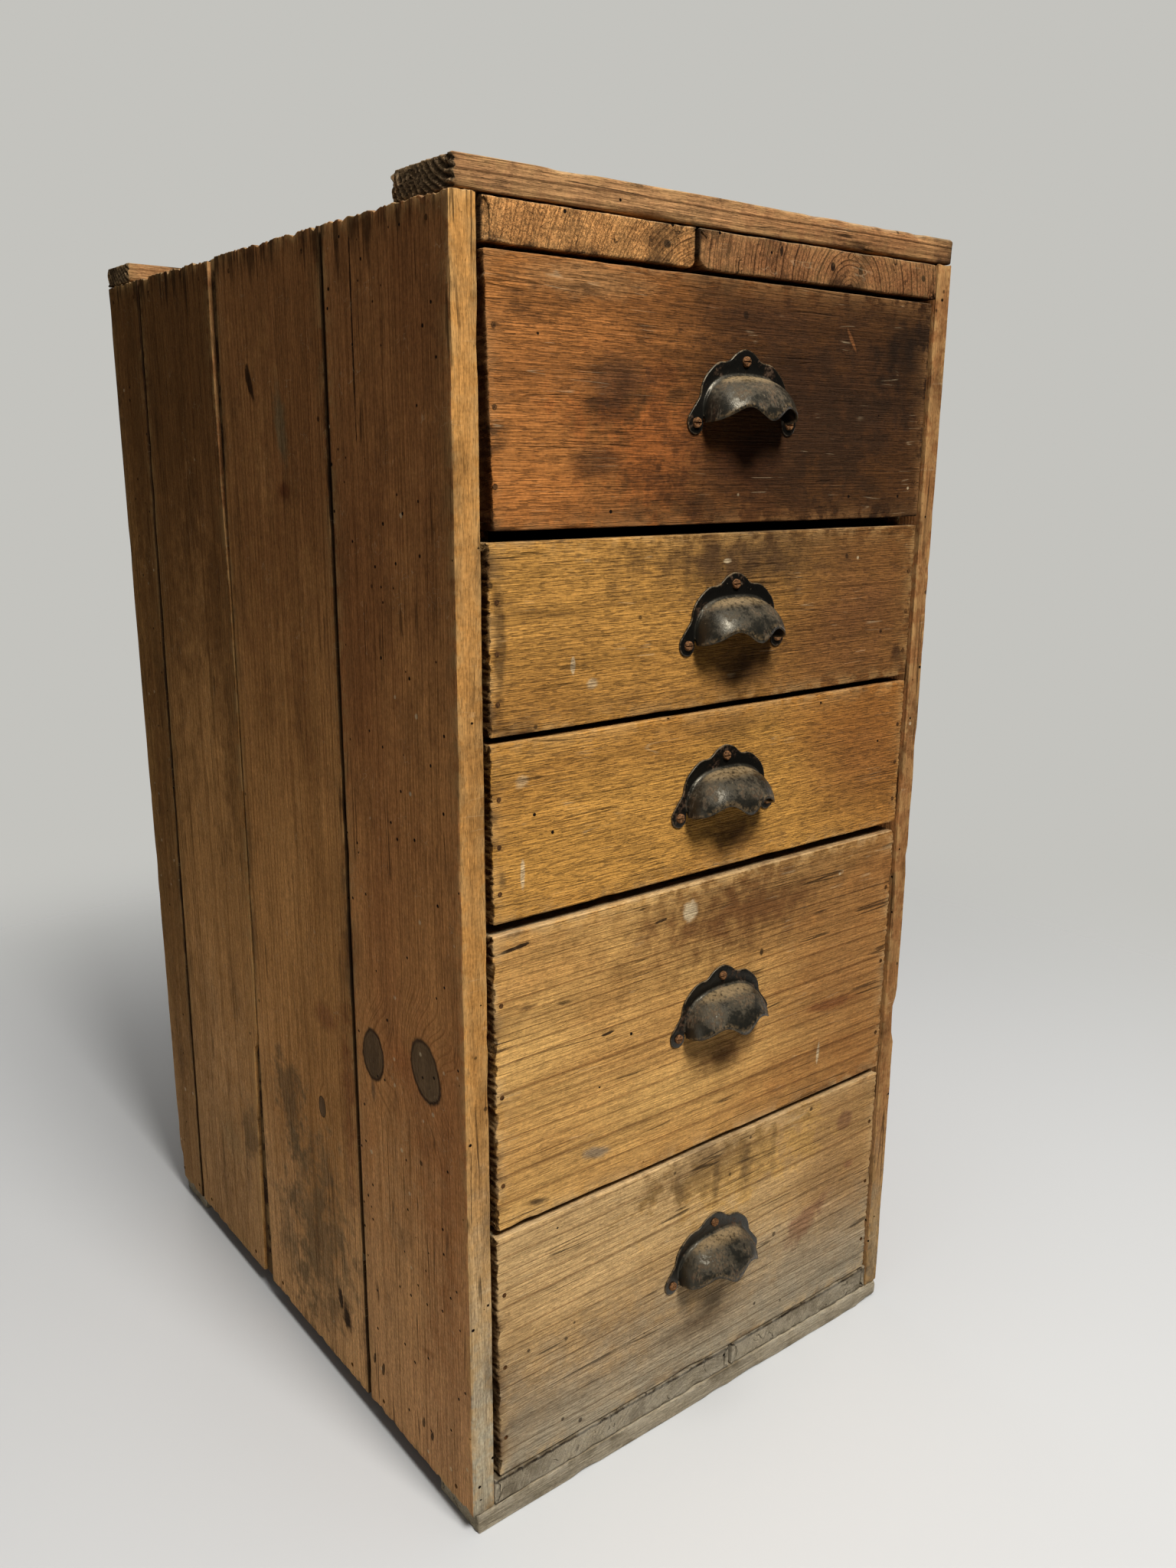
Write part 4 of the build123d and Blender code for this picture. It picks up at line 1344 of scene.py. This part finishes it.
def pull_shape():
    """Points in metres about the middle of the lower screw line, faces and attributes of one pull."""
    right = np.array(PULL_OUTLINE, float)
    left = right[:0:-1] * (-1, 1)
    outer = smooth_line(np.concatenate([left, right]), PULL_POINTS)
    turn = math.pi * np.interp(np.linspace(0, 1, PULL_POINTS), *CUP_TURNS)
    across, rise, _ = cup_section(turn, 0.0)
    inner = columns(across, rise)
    gap = np.linalg.norm(inner - outer, axis=1, keepdims=True)
    toward = (inner - outer) / gap
    rows = [flat_row(outer + inset * toward, sheets) for inset, sheets in FLANGE_ROWS]
    rows.append(flat_row(outer + (gap - FOOT_ROWS[0][0]) / 2 * toward, 1))
    rows += [flat_row(inner - np.minimum(before, FOOT_LIMIT * gap) * toward, sheets)
             for before, sheets in FOOT_ROWS]
    cup_start = len(rows)
    rows += cup_rows(turn, 0.0, OUTSIDE_START)
    rows += cup_rows(turn, SHEET, INSIDE_START)[::-1]
    points = np.stack(rows, axis=1) * MM
    numbers = np.arange(points.shape[0] * points.shape[1]).reshape(points.shape[:2])
    faces = grid_faces(numbers) + [tuple(numbers[0]), tuple(numbers[-1])]
    edge = np.zeros(points.shape[:2])
    cup = np.zeros(points.shape[:2])
    lip = cup_start + CUP_ROWS
    edge[:, 1:3] = 1
    edge[:, lip - 2:lip + 1] = 1
    cup[:, cup_start - 2:lip + 1] = 1
    return points.reshape(-1, 3), faces, {"edge": edge, "cup": cup}


# Metal: noise as (cells to the metre, detail, roughness)
STEEL_SPECK = ((420.0, 420.0, 420.0), 5.0, 0.7)
STEEL_PATCH = ((60.0, 60.0, 60.0), 5.0, 0.6)
STEEL_SCUFF = ((700.0, 700.0, 70.0), 3.0, 0.5)
RUST_SPECK = ((600.0, 600.0, 600.0), 4.0, 0.7)
SCUFF_PATCHES = (0.48, 0.6)
SCUFF_LINES = (0.46, 0.6)
RUST_PATCHES = (0.5, 0.62)
RUST_SPECKS = (0.45, 0.6)
RUBBED_SPECKS = (0.42, 0.6)
DUST_TURN = (0.1, 0.8)
DUST_LEVELS = (0.8, 1.15)
LEDGE_TURN = (0.8, 0.97)
LEDGE_SPECKS = (0.3, 0.55)
GRIT_SPECKS = (0.66, 0.72)
NAIL_SPECKS = (0.35, 0.65)
SCREW_SPECKS = (0.35, 0.6)
SCUFF_LAYER = (0.3, (112, 100, 80))
RUST_LAYER = (0.45, (86, 58, 38))
RUBBED_LAYER = (0.4, (130, 106, 74))
DUST_LAYER = (0.16, (120, 102, 74))
LEDGE_LAYER = (0.45, (170, 142, 100))
GRIT_LAYER = (0.4, (140, 122, 92))
LACQUER = (13, 12, 10)
CUP_LACQUER = (25, 24, 20)
WARM_SHEEN = (1.0, 0.88, 0.66, 1.0)
STEEL_SHINE = 0.45
STEEL_ROUGHNESS = (0.3, 0.8)
STEEL_PATCH_RISE = 1.5
STEEL_RELIEF = 0.2
RUST_ROUGHNESS = 0.7
RUST_SHINE = 0.0
RUST_RELIEF = 0.3
NAIL_TONES = ((48, 32, 20), (96, 65, 38))
SCREW_TONES = ((54, 39, 26), (126, 88, 57))
SCREW_START = FRONT_PLANE - 0.6


def metal_noise(paint, cells, detail, roughness):
    return paint.noise(paint.stretch(cells), detail, roughness)


def black_steel():
    """Black lacquer, dusty on top, scuffed on the cup, rubbed and rusty at the edges."""
    paint = Paint("black_steel")
    speck, patch, scuff = [metal_noise(paint, *kind) for kind in (STEEL_SPECK, STEEL_PATCH, STEEL_SCUFF)]
    upward = paint.parts(paint.normal)[Z]
    cup = paint.attribute("cup")
    scuffed = paint.times(paint.ease(patch, *SCUFF_PATCHES), paint.ease(scuff, *SCUFF_LINES))
    scuffed = paint.times(scuffed, cup)
    rust = paint.times(paint.ease(patch, *RUST_PATCHES), paint.ease(speck, *RUST_SPECKS))
    rubbed = paint.times(paint.attribute("edge"), paint.ease(speck, *RUBBED_SPECKS))
    powder = paint.ease(paint.math("ADD", speck, patch), *DUST_LEVELS)
    dust = paint.times(paint.ease(upward, *DUST_TURN), powder)
    ledge = paint.times(paint.ease(upward, *LEDGE_TURN), paint.ease(speck, *LEDGE_SPECKS))
    grit = paint.ease(speck, *GRIT_SPECKS)
    colour = paint.mix(cup, LACQUER, CUP_LACQUER)
    layers = ((scuffed, SCUFF_LAYER), (rust, RUST_LAYER), (rubbed, RUBBED_LAYER), (dust, DUST_LAYER),
              (ledge, LEDGE_LAYER), (grit, GRIT_LAYER))
    for share, (strength, other) in layers:
        colour = paint.layer(colour, other, share, strength)
    paint.feed(paint.surface["Base Color"], colour)
    dull = paint.math("ADD", paint.math("ADD", dust, scuffed), rust)
    paint.feed(paint.surface["Roughness"], paint.ease(dull, 0.0, 1.0, *STEEL_ROUGHNESS))
    paint.feed(paint.surface["Specular IOR Level"], STEEL_SHINE)
    paint.feed(paint.surface["Specular Tint"], WARM_SHEEN)
    paint.bump(paint.times_plus(patch, STEEL_PATCH_RISE, speck), STEEL_RELIEF)
    return paint.material


def rusty_steel():
    """Dark rust on the nails, and paler, rubbed rust on the screws, whose heads stand before the fronts."""
    paint = Paint("rusty_steel")
    speck = metal_noise(paint, *RUST_SPECK)
    before = paint.math("LESS_THAN", paint.parts(paint.place)[Y], SCREW_START * MM)
    nail = paint.mix(paint.ease(speck, *NAIL_SPECKS), *NAIL_TONES)
    screw = paint.mix(paint.ease(speck, *SCREW_SPECKS), *SCREW_TONES)
    paint.feed(paint.surface["Base Color"], paint.mix(before, nail, screw))
    paint.feed(paint.surface["Roughness"], RUST_ROUGHNESS)
    paint.feed(paint.surface["Specular IOR Level"], RUST_SHINE)
    paint.bump(speck, RUST_RELIEF)
    return paint.material


def pulls():
    """The cup pulls, each about the middle of its lower screw line."""
    steel = black_steel()
    points, faces, attributes = pull_shape()
    for number in DRAWERS:
        body = f"drawer_{number}"
        low, high = node_box(f"{body}_pull")
        middle = np.array(((low[X] + high[X]) / 2, high[Y], low[Z] + LUG_RADIUS)) * MM
        shape = (points + middle, faces, attributes)
        add_piece(f"{body}_cup_pull", [shape], steel, body, [f"{body}_pull"])


def nails_and_screws():
    """The finish of the nails and screws, which keep their CAD shapes."""
    rust = rusty_steel()
    for node in ["carcass_nails"] + [f"drawer_{number}_fasteners" for number in DRAWERS]:
        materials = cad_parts[node].data.materials
        materials.clear()
        materials.append(rust)


# Lamps, sky, floor and camera
def lamps():
    """Soft round lamps that the camera doesn't see."""
    for name, (place, size, power) in LAMPS.items():
        lamp = bpy.data.lights.new(name, "AREA")
        lamp.shape = "DISK"
        lamp.size = size
        lamp.energy = power
        holder = bpy.data.objects.new(name, lamp)
        holder.location = place
        holder.rotation_euler = (LAMP_TARGET - Vector(place)).to_track_quat("-Z", "Y").to_euler()
        holder.visible_camera = False
        bpy.context.scene.collection.objects.link(holder)


def sky():
    """A faint light from above, and a plain background where the camera looks past the floor."""
    world = bpy.data.worlds.new("studio")
    world.use_nodes = True
    bpy.context.scene.world = world
    nodes = Nodes(world.node_tree)
    light = nodes.tree.nodes["Background"]
    height = nodes.parts(nodes.node("TexCoord")["Generated"])[Z]
    nodes.feed(light.inputs["Color"], SKY_COLOUR)
    nodes.feed(light.inputs["Strength"], nodes.ease(height, 0.0, 1.0, 0.0, SKY_STRENGTH))
    seen = nodes.node("Background", BACKGROUND)[0]
    camera_ray = nodes.node("LightPath")["Is Camera Ray"]
    choice = nodes.node("MixShader", camera_ray, light.outputs[0], seen)[0]
    nodes.feed(nodes.tree.nodes["World Output"].inputs["Surface"], choice)


def floor():
    """A pale disc that fades out towards its rim."""
    mesh = bpy.data.meshes.new("floor")
    disc = bmesh.new()
    bmesh.ops.create_circle(disc, cap_ends=True, segments=FLOOR_SEGMENTS, radius=FLOOR_RADIUS)
    disc.to_mesh(mesh)
    disc.free()
    ground = bpy.data.objects.new("floor", mesh)
    bpy.context.scene.collection.objects.link(ground)
    paint = Paint("floor")
    paint.feed(paint.surface["Base Color"], FLOOR_COLOUR)
    paint.feed(paint.surface["Roughness"], FLOOR_ROUGHNESS)
    distance = paint.vector("LENGTH", paint.place, output="Value")
    start, stop = [share * FLOOR_RADIUS for share in FLOOR_FADE_SHARES]
    paint.feed(paint.surface["Alpha"], paint.ease(distance, start, stop, 1.0, 0.0))
    mesh.materials.append(paint.material)


def camera():
    """The camera at the photo's angle."""
    view = bpy.data.cameras.new("camera")
    view.lens = CAMERA_LENS
    view.clip_start = CAMERA_NEAR
    holder = bpy.data.objects.new("camera", view)
    up = CAMERA_RIGHT.cross(CAMERA_FORWARD)
    turned = Matrix((CAMERA_RIGHT, up, -CAMERA_FORWARD)).transposed()
    holder.matrix_world = Matrix.LocRotScale(CAMERA_PLACE, turned.to_quaternion(), None)
    bpy.context.scene.collection.objects.link(holder)
    bpy.context.scene.camera = holder


bpy.context.scene.view_settings.view_transform = "Standard"
sides()
end_boards()
battens()
back()
runners()
drawers()
pulls()
nails_and_screws()
lamps()
sky()
floor()
camera()
